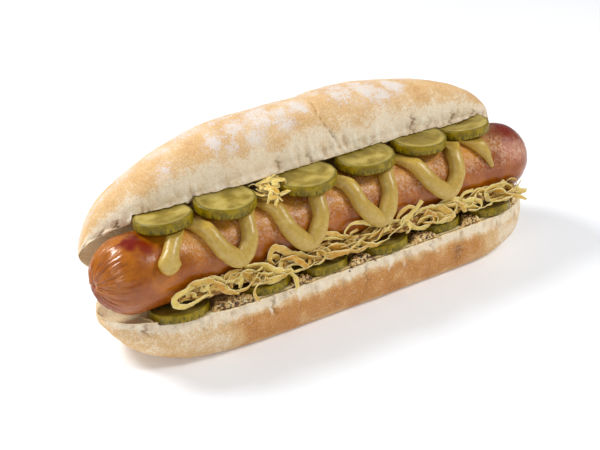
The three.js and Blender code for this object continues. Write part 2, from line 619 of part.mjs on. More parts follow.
const bread = new THREE.MeshStandardMaterial({ color: 0xe9cfa0, roughness: 0.85, metalness: 0 });
const skin = new THREE.MeshStandardMaterial({ color: 0xb5562a, roughness: 0.35, metalness: 0 });
const mustardYellow = new THREE.MeshStandardMaterial({ color: 0xc99a3c, roughness: 0.45, metalness: 0 });
const grainYellow = new THREE.MeshStandardMaterial({ color: 0xd8bf86, roughness: 0.6, metalness: 0 });
const pickleGreen = new THREE.MeshStandardMaterial({ color: 0x8a8f35, roughness: 0.3, metalness: 0 });
const krautStraw = new THREE.MeshStandardMaterial({ color: 0xd9c07a, roughness: 0.4, metalness: 0 });

const hotDog = new THREE.Group();

function place(name, solid, material) {
  const mesh = new THREE.Mesh(toGeometry(solid), material.clone());
  mesh.name = name;
  hotDog.add(mesh);
}

place('roll', roll, bread);
place('sausage', sausage, skin);
place('mustard', mustard, mustardYellow);
place('grain_mustard', spread, grainYellow);
place('sauerkraut', kraut, krautStraw);
place('sauerkraut_tuft', tuft, krautStraw);
upperSlices.forEach((slice, index) => place(`pickle_upper_${index + 1}`, slice, pickleGreen));
lowerSlices.forEach((slice, index) => place(`pickle_lower_${index + 1}`, slice, pickleGreen));

export default hotDog;
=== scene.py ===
# A hot dog: the fine shapes and finishes of a split roll, its smoked sausage and its toppings.
# Shapes are worked out in millimetres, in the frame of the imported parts, and made in metres.

import math

import bpy
import numpy as np
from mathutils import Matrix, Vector


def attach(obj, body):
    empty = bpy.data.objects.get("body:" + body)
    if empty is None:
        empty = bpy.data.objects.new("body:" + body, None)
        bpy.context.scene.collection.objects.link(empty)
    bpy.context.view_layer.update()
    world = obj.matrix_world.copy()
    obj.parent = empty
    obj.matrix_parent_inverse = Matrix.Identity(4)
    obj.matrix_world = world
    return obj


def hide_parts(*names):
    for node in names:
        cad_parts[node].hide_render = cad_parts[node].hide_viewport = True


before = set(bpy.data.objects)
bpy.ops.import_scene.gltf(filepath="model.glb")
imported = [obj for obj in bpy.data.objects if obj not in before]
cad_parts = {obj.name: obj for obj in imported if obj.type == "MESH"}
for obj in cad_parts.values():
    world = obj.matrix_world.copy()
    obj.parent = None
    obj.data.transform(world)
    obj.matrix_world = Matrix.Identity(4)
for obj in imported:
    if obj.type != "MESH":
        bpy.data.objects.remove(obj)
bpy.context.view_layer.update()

MM = 0.001

# Sizes of the parts, as they were packed
TOUCH_GAP = 0.3
TOP_REACH = (98, 98.5)
BOTTOM_REACH = (98.5, 101)
CUT_HEIGHT = 20
ROLL_CENTRE_Y = 6
FLAT_SINK = 0.8
SAUSAGE_RADIUS = 15
SAUSAGE_LENGTH = 205
SAUSAGE_HEIGHT = 37
HINGE_Y = 27
HINGE_Z = 21
OPEN_ANGLE_AT_HINGE = math.radians(97)
OPEN_ANGLE_AT_EDGE = math.radians(148)
TOP_CUT_WIDTH = 44.6
TOP_MIDDLE = 20.5
END_DROOP = 2.6
LOBE_START, LOBE_END, LOBE_FADE, LOBE_RISE = 4, 14, 70, 1.4

BOTTOM_CRUST = [
    (-18.5, 20), (-20.4, 14), (-20.3, 7), (-17.3, 1.6), (-12, 0), (-2, 0),
    (10, 0), (21, 0), (28, 2.5), (32, 9), (32.5, 15), (31, 20),
]
BOTTOM_CUT = [(24, 20), (15, 17.4), (8, 15.3), (2, 15.3), (-4, 16.4), (-10, 17.9), (-15, 19)]
TOP_CRUST = [
    (44.6, 0), (47.2, 6), (47.6, 14), (44.5, 22.5), (37, 29), (27, 32),
    (15, 32), (4, 28), (-3.5, 20.5), (-7, 11), (-7, 3.5), (-5, -3),
]
TOP_CUT = [(0, -1), (6, 2), (13, 5), (21, 6.3), (30, 5), (38, 2.2)]
WIDTH_ROUNDING = ((5, 1.7), (10, 1.9))
BOTTOM_DEPTH_ROUNDING = ((5, 2), (7, 2))
TOP_DEPTH_ROUNDING = ((2.8, 1.6), (3, 1.5))

# Pickle slices as centre x, y, radius, sideways tilt and front tilt in degrees. The upper ones end with how
# far each has sunk.
UPPER_PICKLE_THICKNESS = 3.9
UPPER_PICKLE_HEIGHT = 53.8
UPPER_PICKLES = [
    (-72.4, 0.6, 11, -2, 8, 1), (-47.8, -1.4, 12, 1, -1, 0), (-12.2, -2, 12.7, -2, 1, 0),
    (17.4, -1.2, 12.2, -2, 1, 0), (45.2, 0.2, 11.9, 1, 1, 0), (70.4, 2.6, 12.1, -2, 8, 1.1),
]
LOWER_PICKLE_THICKNESS = 3.5
LOWER_PICKLE_LEAN = 10
LOWER_PICKLES = [
    (-72, -7.2, 11.6, 1, 0), (-36.2, -7, 11.8, -1, 0), (-10, -7.6, 12.2, 1, 0),
    (20, -8.2, 12.4, -1, 0), (49.3, -6.4, 11.6, 1, 0), (76.6, -8, 11.8, -1, 0),
]

# Mustard line: start, then for each valley x at 60 and 25 degrees down, x and angle of the turn,
# x at 25 and 60 degrees up, and last the tail
MUSTARD_HALF_WIDTH = 3.2
MUSTARD_HEIGHT = 4.7
MUSTARD_LINE_RADIUS = 17.5
MUSTARD_PRESS_RADIUS = 16.2
MUSTARD_CREST_ANGLE = 86
MUSTARD_START = [(-79.4, 15), (-78.2, 34), (-72.5, 62)]
MUSTARD_VALLEYS = [
    (-60.9, -56.5, -50.5, 9, -45.7, -42.7),
    (-30.8, -27.8, -20, -1, -13.7, -11.3),
    (3, 6.1, 14.5, -2, 19.5, 22.2),
    (35.6, 41, 48.7, 6, 54, 57),
]
MUSTARD_TAIL = [(68.6, 66), (71.2, 46), (73.8, 18)]

# The slope that the sauerkraut lies on, in section as y and z: down the front of the sausage, then over the
# lower slices and their rims
HEAP_SLOPE = [
    (-15.1, 41), (-15.6, 37), (-15.07, 32.96), (-16.6, 29.5), (-17.6, 27),
    (-19, 25.2), (-20.6, 24.4), (-21, 22.5), (-20.3, 20.5),
]
KRAUT_START = -76
KRAUT_END = 86
KRAUT_FLOOR = 24.9
STRIP_THICKNESS = 0.95

# Shreds that show, from the left: width, twist and places as x, way down the slope and lift off it
KRAUT_SHREDS = [
    (2.2, 0.5, [(-67, 2, 0.9), (-74, 3, 1.7), (-79, 6, 1.6), (-78.6, 8.6, 1.6), (-73, 9.5, 1.3),
                (-64, 8, 0.6)]),
    (2.8, -0.4, [(-72, 4, 0.8), (-66.5, 1.7, 1.3), (-62, 4.5, 1.3), (-57, 9.5, 1.2), (-53.5, 12, 1)]),
    (1.6, 0.8, [(-57, 10, 0.8), (-51, 11, 1.4), (-48, 9.5, 1.8), (-44, 6.5, 0.8)]),
    (1.4, 0.6, [(-56.5, 8, 0.7), (-52.5, 6, 1.7), (-48.5, 5, 0.8)]),
    (1.4, 1.1, [(-58.5, 7, 0.6), (-57, 2.6, 1.3), (-54.5, 1.7, 1.3), (-49.5, 3, 0.7)]),
    (4, 0.5, [(-48.5, 2, 0.7), (-43.5, 3, 1.4), (-40, 5.5, 1.7), (-35, 9, 1.6), (-29, 10.5, 1)]),
    (1.3, 0.4, [(-40.5, 6.5, 0.8), (-41, 9.5, 1.7), (-45, 11, 1.5), (-47, 14, 1.1), (-46, 17, 0.9)]),
    (1.6, 0.3, [(-32, 9, 0.8), (-29, 13, 1.4), (-29, 16, 1.1), (-29.5, 18, 0.9)]),
    (2.6, -0.6, [(-36, 6, 0.7), (-38, 2, 1.4), (-36.5, -2, 1.5), (-28, 2.5, 1.6), (-21, 7, 1.5),
                 (-13, 10, 0.9)]),
    (2.3, 1.5, [(-36, 6, 0.8), (-32, 4, 1.9), (-28, 5, 2.1), (-25, 8, 2), (-22.5, 10.3, 1.6), (-20, 8, 0.7)]),
    (2, 0.3, [(-14, -1.5, 1), (-8, 0.5, 1.2), (-4, 3, 1.5), (0, 6.5, 1.5), (1.5, 9.5, 0.8)]),
    (4, 0.6, [(-16, 6.5, 0.8), (-10, 6.5, 1.7), (-5, 8.5, 1.8), (-2, 10.5, 1)]),
    (3.6, -0.7, [(-14, 8.5, 0.8), (-8.5, 9.5, 2.2), (-3.5, 10, 2.1), (3, 8.5, 0.8)]),
    (1.4, 0.8, [(-1.5, 6, 0.7), (-3.5, 1, 1.3), (0, -1.2, 1.2), (4, -0.8, 1.2), (8, 1, 1.1), (12, 4, 0.7)]),
    (2.4, -0.5, [(2, 7, 0.8), (6, 9.5, 1.6), (10, 11.5, 1.4), (17, 10.5, 0.8)]),
    (2.2, 0.7, [(17, 10, 0.8), (21, 8, 1.5), (25, 6.5, 1.6), (29, 3, 1.6), (32.5, 0.5, 1.3),
                (35, -1.2, 0.9)]),
    (1.6, 0.9, [(22.5, 5.5, 0.8), (24, 0.7, 1.3), (28, -0.5, 1.3), (33, 1.5, 0.8)]),
    (2.4, 1.1, [(31, 3, 0.7), (37.5, 5, 1.6), (40.5, 8, 1.8), (39.5, 10, 1.6), (35, 9, 0.8)]),
    (3.6, -0.6, [(37, 3.5, 0.8), (43.5, 5, 1.8), (47, 8, 1.8), (49.3, 10.7, 1.4), (43, 10.5, 0.8)]),
    (2.4, 0.5, [(43.5, 4, 0.7), (49, 2, 1.3), (55, 5, 1.5), (63, 9, 0.9)]),
    (2.2, -0.8, [(50, 3.5, 0.8), (54.5, 7, 1.8), (57, 10.5, 0.9)]),
    (1.8, 0.9, [(57, 5.5, 0.8), (62, 6.5, 1.6), (65.5, 9.8, 1.6), (62.5, 11.5, 1.3), (58.5, 10, 0.8)]),
    (1.9, 0.4, [(59.5, 6, 0.7), (63, 2.5, 1.5), (67, 2.5, 1.5), (72, 6, 0.8)]),
    (2.1, -0.9, [(70, 9.5, 0.8), (69, 5, 1.7), (72, 2.5, 2), (77, 3, 2), (81, 5, 1.7), (84, 9, 0.9)]),
    (4, 0.8, [(69, 6, 0.8), (74, 6, 2), (77.5, 8.5, 2.2), (79.5, 10.5, 1.8), (75, 10, 0.8)]),
    (3, 0.5, [(78, 9, 0.8), (84, 8, 1.6), (87, 9.5, 1.4), (91, 10.5, 0.9)]),
    (2, -0.5, [(79, 9, 0.8), (84, 11.5, 1.3), (87, 12.5, 1.1), (89, 14.5, 0.8)]),
]

# Which of them are golden, and how many loose ones lie between them, which its part leaves out
GOLDEN_SHREDS = (1, 9, 11, 12, 17)
LOOSE_SHRED_COUNT = 60

# The tuft's own strips, here narrower than in its part. The others, which its part leaves out, stay within
# bounds in x and y from its place.
TUFT_SHRED_WIDTH = 1.6
TUFT_FILL_COUNT = 20
TUFT_FILL_BOUNDS = ((-5, 8), (-5, 7))
TUFT_PLACE = (-30.6, -5.5, 55)
TUFT_SHREDS = [
    [(-3.6, -4.4, -0.6), (-1.4, -3.4, 2.6), (1.4, -1.4, 3), (2.6, 1.6, 1)],
    [(2.4, -5.6, -0.8), (0.4, -2.8, 2), (-1.8, -0.4, 3.4), (-2.6, 2.4, 1.4)],
    [(-1.6, -6.6, -1.2), (0.6, -4, 1.2), (0.4, -0.8, 2.2), (-0.6, 2.6, 0.8)],
]

# The spread, whose front edge is here a millimetre further out than in its part, and its seeds, of which
# its part has only a few
SPREAD_START = -85
SPREAD_END = 92
SPREAD_FRONT = -18.2
SPREAD_BACK = 0
SPREAD_THICKNESS = 0.45
SEED_COUNT = 900
SEED_FRONT = -19
SEED_BACK = -12.5


# Curves and noise

def smooth(low, high, value):
    """0 up to low, 1 from high, and smooth between them."""
    share = np.clip((value - low) / (high - low), 0, 1)
    return share * share * (3 - 2 * share)


class Draws:
    """Even draws from a seed."""

    def __init__(self, seed):
        self.state = seed

    def between(self, low, high):
        mask = 0xFFFFFFFF
        self.state = (self.state + 0x6D2B79F5) & mask
        mixed = ((self.state ^ (self.state >> 15)) * (1 | self.state)) & mask
        stirred = ((mixed ^ (mixed >> 7)) * (61 | mixed)) & mask
        mixed ^= (mixed + stirred) & mask
        return low + (high - low) * ((mixed ^ (mixed >> 14)) & mask) / 2 ** 32


def lattice_slopes(cells, seed):
    """A steady random slope from -1 to 1 on each axis for each lattice cell."""
    mask = np.uint64(0xFFFFFFFF)
    x, y, z = (cells[:, axis].astype(np.uint64) for axis in range(3))
    mixed = (x * np.uint64(374761393) + y * np.uint64(668265263) + z * np.uint64(2246822519)) & mask
    slopes = []
    for axis in range(3):
        stirred = (mixed + np.uint64((seed * 3 + axis) * 3266489917 % 2 ** 32)) & mask
        stirred = ((stirred ^ (stirred >> np.uint64(15))) * np.uint64(2654435761)) & mask
        stirred = ((stirred ^ (stirred >> np.uint64(13))) * np.uint64(1274126177)) & mask
        slopes.append(((stirred ^ (stirred >> np.uint64(16))) & mask) / 2 ** 31 - 1)
    return np.stack(slopes, axis=1)


def noise(points, size, seed=0):
    """Smooth noise from about -1 to 1 with lumps of the given size."""
    place = np.asarray(points, float) / size + 4096
    cells = np.floor(place).astype(np.int64)
    part = place - cells
    ease = part ** 3 * (part * (part * 6 - 15) + 10)
    total = np.zeros(len(place))
    for corner in np.ndindex(2, 2, 2):
        weight = np.prod(np.where(corner, ease, 1 - ease), axis=1)
        total += weight * ((part - corner) * lattice_slopes(cells + corner, seed)).sum(axis=1)
    return total * 1.5


def noise_along(values, size, seed=0):
    """Smooth noise along one direction."""
    flat = np.zeros((len(values), 3))
    flat[:, 0] = values
    flat[:, 1] = 17.3 * seed
    return noise(flat, size, seed)


def smooth_profile(points, steps):
    """A smooth line through given points, with the given steps between two of them."""
    points = np.array(points, float)
    padded = np.concatenate([points[:1], points, points[-1:]])
    line = []
    t = (np.arange(steps) / steps)[:, None]
    for a, b, c, d in zip(padded, padded[1:], padded[2:], padded[3:]):
        bend = (2 * a - 5 * b + 4 * c - d) * t ** 2 + (3 * b - a - 3 * c + d) * t ** 3
        line.append(0.5 * (2 * b + (c - a) * t + bend))
    return np.concatenate([*line, points[-1:]])


def clamp(value, low, high):
    return min(max(value, low), high)


def rounded_ends(x, start, end, least):
    """From near 0 at both ends of a stretch to 1 at its middle, level within a least share of each end."""
    share = np.clip((x - start) / (end - start), least, 1 - least)
    return np.sqrt(np.sin(math.pi * share))


def running_length(line):
    steps = np.linalg.norm(np.diff(line, axis=0), axis=1)
    return np.concatenate([[0], np.cumsum(steps)])


def points_at(line, lengths, wanted):
    return np.stack([np.interp(wanted, lengths, line[:, axis]) for axis in range(line.shape[1])], axis=1)


def smooth_line(points, steps):
    """Evenly spaced points on a smooth centripetal line through given points."""
    points = np.array(points, float)
    padded = np.array([2 * points[0] - points[1], *points, 2 * points[-1] - points[-2]])
    line = []
    t = np.linspace(0, 1, 24, endpoint=False)[:, None]
    for a, b, c, d in zip(padded, padded[1:], padded[2:], padded[3:]):
        before, span, after = (max(np.linalg.norm(q - p), 1e-4) ** 0.5 for p, q in ((a, b), (b, c), (c, d)))
        leave = ((b - a) / before - (c - a) / (before + span) + (c - b) / span) * span
        arrive = ((c - b) / span - (d - b) / (span + after) + (d - c) / after) * span
        bend = (3 * (c - b) - 2 * leave - arrive) * t ** 2 + (2 * (b - c) + leave + arrive) * t ** 3
        line.append(b + leave * t + bend)
    line = np.concatenate([*line, points[-1:]])
    lengths = running_length(line)
    return points_at(line, lengths, np.linspace(0, lengths[-1], steps + 1))


def directions(line):
    """The direction of travel at each point of a line."""
    along = np.gradient(line, axis=0)
    return along / np.linalg.norm(along, axis=1, keepdims=True)


def spaced(line, count, fine_reach, from_end=False):
    """The line as count points, closer together near one end, with each point's distance from that end."""
    lengths = running_length(line)
    distance = lengths[-1] - lengths if from_end else lengths
    weight = 1 + 2.2 * (1 - smooth(fine_reach * 0.4, fine_reach, distance))
    effort = np.concatenate([[0], np.cumsum(np.diff(lengths) * (weight[1:] + weight[:-1]) / 2)])
    wanted = np.interp(np.linspace(0, effort[-1], count), effort, lengths)
    return points_at(line, lengths, wanted), np.interp(wanted, lengths, distance)


# Solids

def facing_out(points, triangles):
    a, b, c = (points[triangles[:, corner]] for corner in range(3))
    volume = np.einsum("ij,ij->", a, np.cross(b, c))
    return triangles if volume > 0 else triangles[:, ::-1]


def loft(rings, tips):
    """Points and triangles of a closed body through rings of equal count, fanned to a tip at each end."""
    rings = np.asarray(rings, float)
    count, sides = rings.shape[:2]
    points = np.concatenate([rings.reshape(-1, 3), np.array(tips, float)])
    start = np.arange(count - 1)[:, None] * sides
    side = np.arange(sides)
    following = (side + 1) % sides
    a = (start + side).ravel()
    b = (start + following).ravel()
    walls = np.concatenate([np.stack([a, b, b + sides], axis=1), np.stack([a, b + sides, a + sides], axis=1)])
    first, last = count * sides, (count - 1) * sides
    near_fan = np.stack([np.full(sides, first), following, side], axis=1)
    far_fan = np.stack([np.full(sides, first + 1), last + side, last + following], axis=1)
    triangles = np.concatenate([walls, near_fan, far_fan])
    return points, facing_out(points - points.mean(axis=0), triangles)


def loft_between(rings):
    """The closed body through rings, with each tip in the middle of its last ring."""
    return loft(rings, [rings[0].mean(axis=0), rings[-1].mean(axis=0)])


def point_normals(points, triangles):
    a, b, c = (points[triangles[:, corner]] for corner in range(3))
    faces = np.cross(b - a, c - a)
    normals = np.zeros_like(points)
    for corner in range(3):
        for axis in range(3):
            normals[:, axis] += np.bincount(triangles[:, corner], faces[:, axis], len(points))
    return normals / np.maximum(np.linalg.norm(normals, axis=1, keepdims=True), 1e-9)


def with_tips(values, tip_value=0.0):
    """Values of a grid of ring points, with those of the two tips after them."""
    return np.concatenate([np.ravel(values), [tip_value, tip_value]])


class Heap:
    """Many small closed bodies that become one mesh."""

    def __init__(self):
        self.points = []
        self.triangles = []
        self.paints = {}
        self.count = 0

    def add(self, points, triangles, **paints):
        self.points.append(points)
        self.triangles.append(triangles + self.count)
        for name, value in paints.items():
            self.paints.setdefault(name, []).append(np.broadcast_to(value, len(points)))
        self.count += len(points)

    def piece(self, name):
        paints = {paint: np.concatenate(values) for paint, values in self.paints.items()}
        return make_piece(name, np.concatenate(self.points), np.concatenate(self.triangles), **paints)


def make_piece(name, points, triangles, **paints):
    """An object from points in millimetres, with a painted value on each point for every paint."""
    mesh = bpy.data.meshes.new(name)
    mesh.from_pydata((points * MM).tolist(), [], triangles.tolist())
    for paint, values in paints.items():
        layer = mesh.attributes.new(paint, "FLOAT", "POINT")
        layer.data.foreach_set("value", np.asarray(values, np.float32))
    mesh.shade_smooth()
    piece = bpy.data.objects.new(name, mesh)
    bpy.context.collection.objects.link(piece)
    return piece


def joined(first, second):
    """First becomes the union of both, and second goes."""
    union = first.modifiers.new("union", "BOOLEAN")
    union.operation = "UNION"
    union.solver = "MANIFOLD"
    union.object = second
    evaluated = first.evaluated_get(bpy.context.evaluated_depsgraph_get())
    mesh = bpy.data.meshes.new_from_object(evaluated)
    first.modifiers.clear()
    first.data = mesh
    mesh.shade_smooth()
    bpy.data.objects.remove(second)
    return first


def serve(piece, finish, slot, *nodes):
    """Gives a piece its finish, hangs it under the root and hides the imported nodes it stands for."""
    piece.data.materials.clear()
    piece.data.materials.append(finish)
    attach(piece, "root")
    if nodes:
        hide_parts(*nodes)


# Materials

def tone(red, green, blue):
    """A screen colour from 0 to 255 as linear light."""
    linear = [((v / 255 + 0.055) / 1.055) ** 2.4 if v > 10 else v / 255 / 12.92 for v in (red, green, blue)]
    return (*linear, 1)


class Tap:
    """An output socket of a finish, with arithmetic that adds Math nodes."""

    def __init__(self, finish, socket):
        self.finish = finish
        self.socket = socket

    def math(self, operation, first, second):
        return self.finish.node("Math", {"operation": operation}, {0: first, 1: second})

    def __add__(self, other):
        return self.math("ADD", self, other)

    def __radd__(self, other):
        return self.math("ADD", other, self)

    def __sub__(self, other):
        return self.math("SUBTRACT", self, other)

    def __rsub__(self, other):
        return self.math("SUBTRACT", other, self)

    def __mul__(self, other):
        return self.math("MULTIPLY", self, other)

    def __rmul__(self, other):
        return self.math("MULTIPLY", other, self)


class Finish:
    """A material, with the few ways in which nodes are added to it."""

    def __init__(self, name):
        self.material = bpy.data.materials.new(name)
        self.material.use_nodes = True
        self.tree = self.material.node_tree
        self.tree.nodes.clear()

    def node(self, kind, settings, inputs, output=0):
        """Adds a node: settings first, then values or links of its sockets. Gives back one output."""
        node = self.tree.nodes.new("ShaderNode" + kind)
        for name, value in settings.items():
            setattr(node, name, value)
        for name, value in inputs.items():
            if isinstance(value, Tap):
                self.tree.links.new(value.socket, node.inputs[name])
            else:
                node.inputs[name].default_value = value
        return Tap(self, node.outputs[output])

    def paint(self, name):
        """A value painted on the points of the piece."""
        return self.node("Attribute", {"attribute_name": name}, {}, "Fac")

    def place(self, stretch=(1, 1, 1)):
        """The place on the piece in millimetres, divided by a stretch for each axis."""
        object_place = self.node("TexCoord", {}, {}, "Object")
        scale = [1 / (MM * s) for s in stretch]
        return self.node("Mapping", {}, {"Vector": object_place, "Scale": scale}, "Vector")

    def grain(self, size, detail=3.0, rough=0.5, stretch=(1, 1, 1), place=None):
        """Noise from 0 to 1 with lumps of a size in millimetres."""
        place = place or self.place(stretch)
        inputs = {"Vector": place, "Scale": 1 / size, "Detail": detail, "Roughness": rough}
        return self.node("TexNoise", {}, inputs, "Fac")

    def cells(self, size, output="Distance"):
        """Distance from the nearest of points scattered a size in millimetres apart, or a tone for each."""
        return self.node("TexVoronoi", {"feature": "F1"}, {"Vector": self.place(), "Scale": 1 / size}, output)

    def step(self, value, low, high):
        """0 at low, 1 at high, and smooth between them, with low above high for a step down."""
        rising = self.node("MapRange", {"interpolation_type": "SMOOTHSTEP"},
                           {0: value, 1: min(low, high), 2: max(low, high)})
        return rising if low < high else 1 - rising

    def mix(self, first, second, share):
        """From the first colour to the second."""
        return self.node("Mix", {"data_type": "RGBA"}, {0: share, 6: first, 7: second}, 2)

    def bump(self, height, depth, below=None):
        """A normal from a height from 0 to 1, whose full range is depth millimetres."""
        inputs = {"Height": height, "Distance": depth * MM, "Strength": 1.0}
        if below is not None:
            inputs["Normal"] = below
        return self.node("Bump", {}, inputs)

    def done(self, **sockets):
        """Ends the material in one Principled shader."""
        shader = self.node("BsdfPrincipled", {}, {name.replace("_", " "): v for name, v in sockets.items()})
        output = self.tree.nodes.new("ShaderNodeOutputMaterial")
        self.tree.links.new(shader.socket, output.inputs["Surface"])
        return self.material


def bread_finish():
    """Soft crust, from pale to golden, with flour and the open crumb of the cut, painted highlight and shade
    along its creases, and painted shade in its tears and low on its left end.
    """
    f = Finish("bread")
    bake = f.paint("bake")
    flour = f.paint("flour")
    crumb = f.paint("crumb")
    torn = f.paint("torn")
    crease = f.paint("crease")
    mottle = f.grain(8, 4, 0.6)
    speck = f.grain(2.4, 4, 0.65)
    grit = f.grain(0.8, 3, 0.7)
    pore = f.grain(0.45, 2, 0.6)
    level = bake + (mottle - 0.5) * 1.1 + (speck - 0.5) * 0.8 + (grit - 0.5) * 1.2
    crust = f.mix(tone(246, 229, 200), tone(228, 188, 132), f.step(level, 0.05, 0.6))
    crust = f.mix(crust, tone(204, 140, 72), f.step(level, 0.55, 1.3))
    crust = f.mix(crust, tone(146, 92, 48), f.step(level, 1.3, 2.1))
    crust = f.mix(crust, tone(244, 230, 208), f.step(pore, 0.52, 0.72) * 0.45)
    crust = f.mix(crust, tone(176, 128, 84), f.step(pore, 0.5, 0.3) * 0.3)
    dusting = f.step(flour + (speck - 0.5) * 1.5 + (grit - 0.5) * 1.6 + (pore - 0.5) * 0.8, 0.25, 0.85)
    crust = f.mix(crust, tone(233, 225, 220), dusting * 0.85)
    # Painted highlight on the ridges of the creases and painted shade in their hollows
    crust = f.mix(crust, tone(255, 246, 226), f.step(crease, 0.1, 0.6) * 0.7)
    crust = f.mix(crust, tone(182, 148, 106), f.step(crease, 0, -0.7) * 0.6)
    open_crumb = f.mix(tone(252, 222, 170), tone(255, 242, 206), f.step(grit, 0.4, 0.6))
    colour = f.mix(crust, open_crumb, f.step(crumb + (speck - 0.5) * 0.4, 0.35, 0.65))
    # Painted shade: darker in the tears and the score, by their depth
    colour = f.mix(colour, tone(150, 112, 72), torn)
    relief = f.grain(1.5, 5, 0.7) * 0.6 + grit * 0.5 + pore * 0.25
    normal = f.bump(relief, 0.55)
    return f.done(Base_Color=colour, Roughness=0.86, Normal=normal, Specular_IOR_Level=0.25,
                  Subsurface_Weight=0.06, Subsurface_Radius=(1.0, 0.7, 0.45), Subsurface_Scale=0.002)


def sausage_finish():
    """Smoked skin: amber brown, redder below and to the right, blistered on top with painted highlights, and
    a painted sheen at one end.
    """
    f = Finish("smoked_skin")
    red = f.paint("red")
    scorch = f.paint("scorch")
    blister = f.paint("blister")
    top = f.paint("top")
    gloss = f.paint("gloss")
    mottle = f.grain(9, 4, 0.6)
    fine = f.grain(1.1, 4, 0.7)
    dots = f.cells(0.9)
    colour = f.mix(tone(184, 106, 8), tone(142, 68, 2), f.step(mottle + (fine - 0.5) * 0.3, 0.3, 0.72))
    colour = f.mix(colour, tone(222, 154, 34), f.step(mottle, 0.8, 0.5) * top)
    colour = f.mix(colour, tone(140, 60, 10), red * 0.9)
    # Painted sheen: a pale highlight colour over the right end
    colour = f.mix(colour, tone(218, 150, 134), f.paint("sheen") * 0.45)
    # Painted highlight: pale dots on the blisters along the top and over the painted sheen
    colour = f.mix(colour, tone(234, 192, 160), f.step(fine, 0.44, 0.6) * blister * 0.75)
    colour = f.mix(colour, tone(120, 22, 0), scorch)
    pits = dots * 0.5 + f.grain(0.55, 3, 0.6) * 0.5
    normal = f.bump(f.grain(2.4, 3, 0.5), 0.12)
    normal = f.bump(pits * (blister + 0.1), 0.6, normal)
    roughness = 0.22 + fine * 0.1 + blister * 0.08
    return f.done(Base_Color=colour, Roughness=roughness, Normal=normal, Specular_IOR_Level=0.4,
                  Coat_Weight=(1 - scorch) * (gloss * 0.16 + 0.1), Coat_Roughness=0.1, Subsurface_Weight=0.08,
                  Subsurface_Radius=(1.0, 0.35, 0.15), Subsurface_Scale=0.002)


def mustard_finish():
    """Smooth mustard with a faint grain and soft pale streaks."""
    f = Finish("mustard")
    mottle = f.grain(1.3, 3, 0.55)
    patch = f.grain(5, 3, 0.5)
    colour = f.mix(tone(188, 153, 62), tone(200, 167, 78), f.step(mottle, 0.35, 0.7))
    colour = f.mix(colour, tone(172, 136, 46), f.step(patch, 0.5, 0.8) * 0.25)
    colour = f.mix(colour, tone(220, 196, 122), f.step(patch, 0.46, 0.3) * 0.4)
    normal = f.bump(f.grain(0.8, 3, 0.6), 0.03)
    normal = f.bump(f.grain(3.2, 2, 0.5), 0.12, normal)
    return f.done(Base_Color=colour, Roughness=0.31 + mottle * 0.1, Normal=normal, Specular_IOR_Level=0.7,
                  Subsurface_Weight=0.12, Subsurface_Radius=(1.0, 0.7, 0.25), Subsurface_Scale=0.002)


def pickle_finish():
    """Olive skin with dark flecks round a hazy, wet flesh with faint seeds."""
    f = Finish("pickle")
    rim = f.paint("rim")
    radial = f.paint("radial")
    seed = f.paint("seed")
    turn = f.paint("turn")
    depth = f.paint("depth")
    streak_place = f.node("CombineXYZ", {}, {"X": turn, "Y": depth * 0.3, "Z": rim * 0.3})
    streak = f.grain(0.75, 2, 0.6, place=streak_place)
    reach = depth + (f.grain(1.6, 2, 0.5) - 0.5) * 4
    fleck = f.step(streak, 0.5, 0.6) * f.step(reach, 2.8, 1.2)
    mottle = f.grain(3.4, 4, 0.6)
    haze = f.grain(0.9, 3, 0.6)
    cloud = f.grain(7, 2, 0.5)
    flesh = f.mix(tone(166, 144, 56), tone(128, 108, 28), f.step(cloud + (mottle - 0.5) * 0.3, 0.36, 0.66))
    flesh = f.mix(flesh, tone(200, 182, 108), f.step(cloud + (haze - 0.5) * 0.2, 0.52, 0.3) * 0.5)
    flesh = f.mix(flesh, tone(184, 166, 96), seed * 0.15)
    ring = f.step(radial, 0.74, 0.82) * f.step(radial, 0.93, 0.86)
    flesh = f.mix(flesh, tone(182, 166, 92), ring * 0.35)
    flesh = f.mix(flesh, tone(112, 100, 18), f.step(radial, 0.88, 0.97))
    skin = f.mix(tone(156, 132, 8), tone(124, 104, 2), f.step(mottle, 0.4, 0.6))
    skin = f.mix(skin, tone(84, 76, 0), fleck * 0.9)
    colour = f.mix(flesh, skin, rim)
    normal = f.bump(haze, 0.1)
    return f.done(Base_Color=colour, Roughness=0.24 + mottle * 0.2, Normal=normal, Specular_IOR_Level=0.28,
                  Coat_Weight=(1 - rim) * 0.12, Coat_Roughness=0.1, Subsurface_Weight=0.12,
                  Subsurface_Radius=(0.9, 1.0, 0.3), Subsurface_Scale=0.002)


def kraut_finish(name, lean):
    """Wet shredded cabbage, pale straw to golden, paler at the edges. Lean is how brown painted shade makes
    its hollows.
    """
    f = Finish(name)
    hue = f.paint("hue")
    vein = f.grain(1.1, 3, 0.6, stretch=(3, 1, 1))
    patch = f.grain(3, 2, 0.5)
    colour = f.mix(tone(238, 206, 112), tone(214, 166, 62), f.step(hue + (patch - 0.5) * 0.8, 0.3, 0.85))
    colour = f.mix(colour, tone(210, 146, 30), f.step(hue, 0.84, 0.92) * f.step(patch, 0.35, 0.55))
    colour = f.mix(colour, tone(242, 214, 136), f.step(vein, 0.5, 0.7) * 0.4)
    colour = f.mix(colour, tone(254, 234, 172), f.step(f.paint("edge"), 0.6, 1) * 0.75)
    # Painted shade: brown where the veins sink
    colour = f.mix(colour, tone(112, 62, 16), lean * f.step(vein, 0.62, 0.42))
    normal = f.bump(vein, 0.15)
    return f.done(Base_Color=colour, Roughness=0.22 + vein * 0.15, Normal=normal, Specular_IOR_Level=0.4,
                  Coat_Weight=0.06, Coat_Roughness=0.1, Subsurface_Weight=0.3,
                  Subsurface_Radius=(1.0, 0.75, 0.35), Subsurface_Scale=0.002)


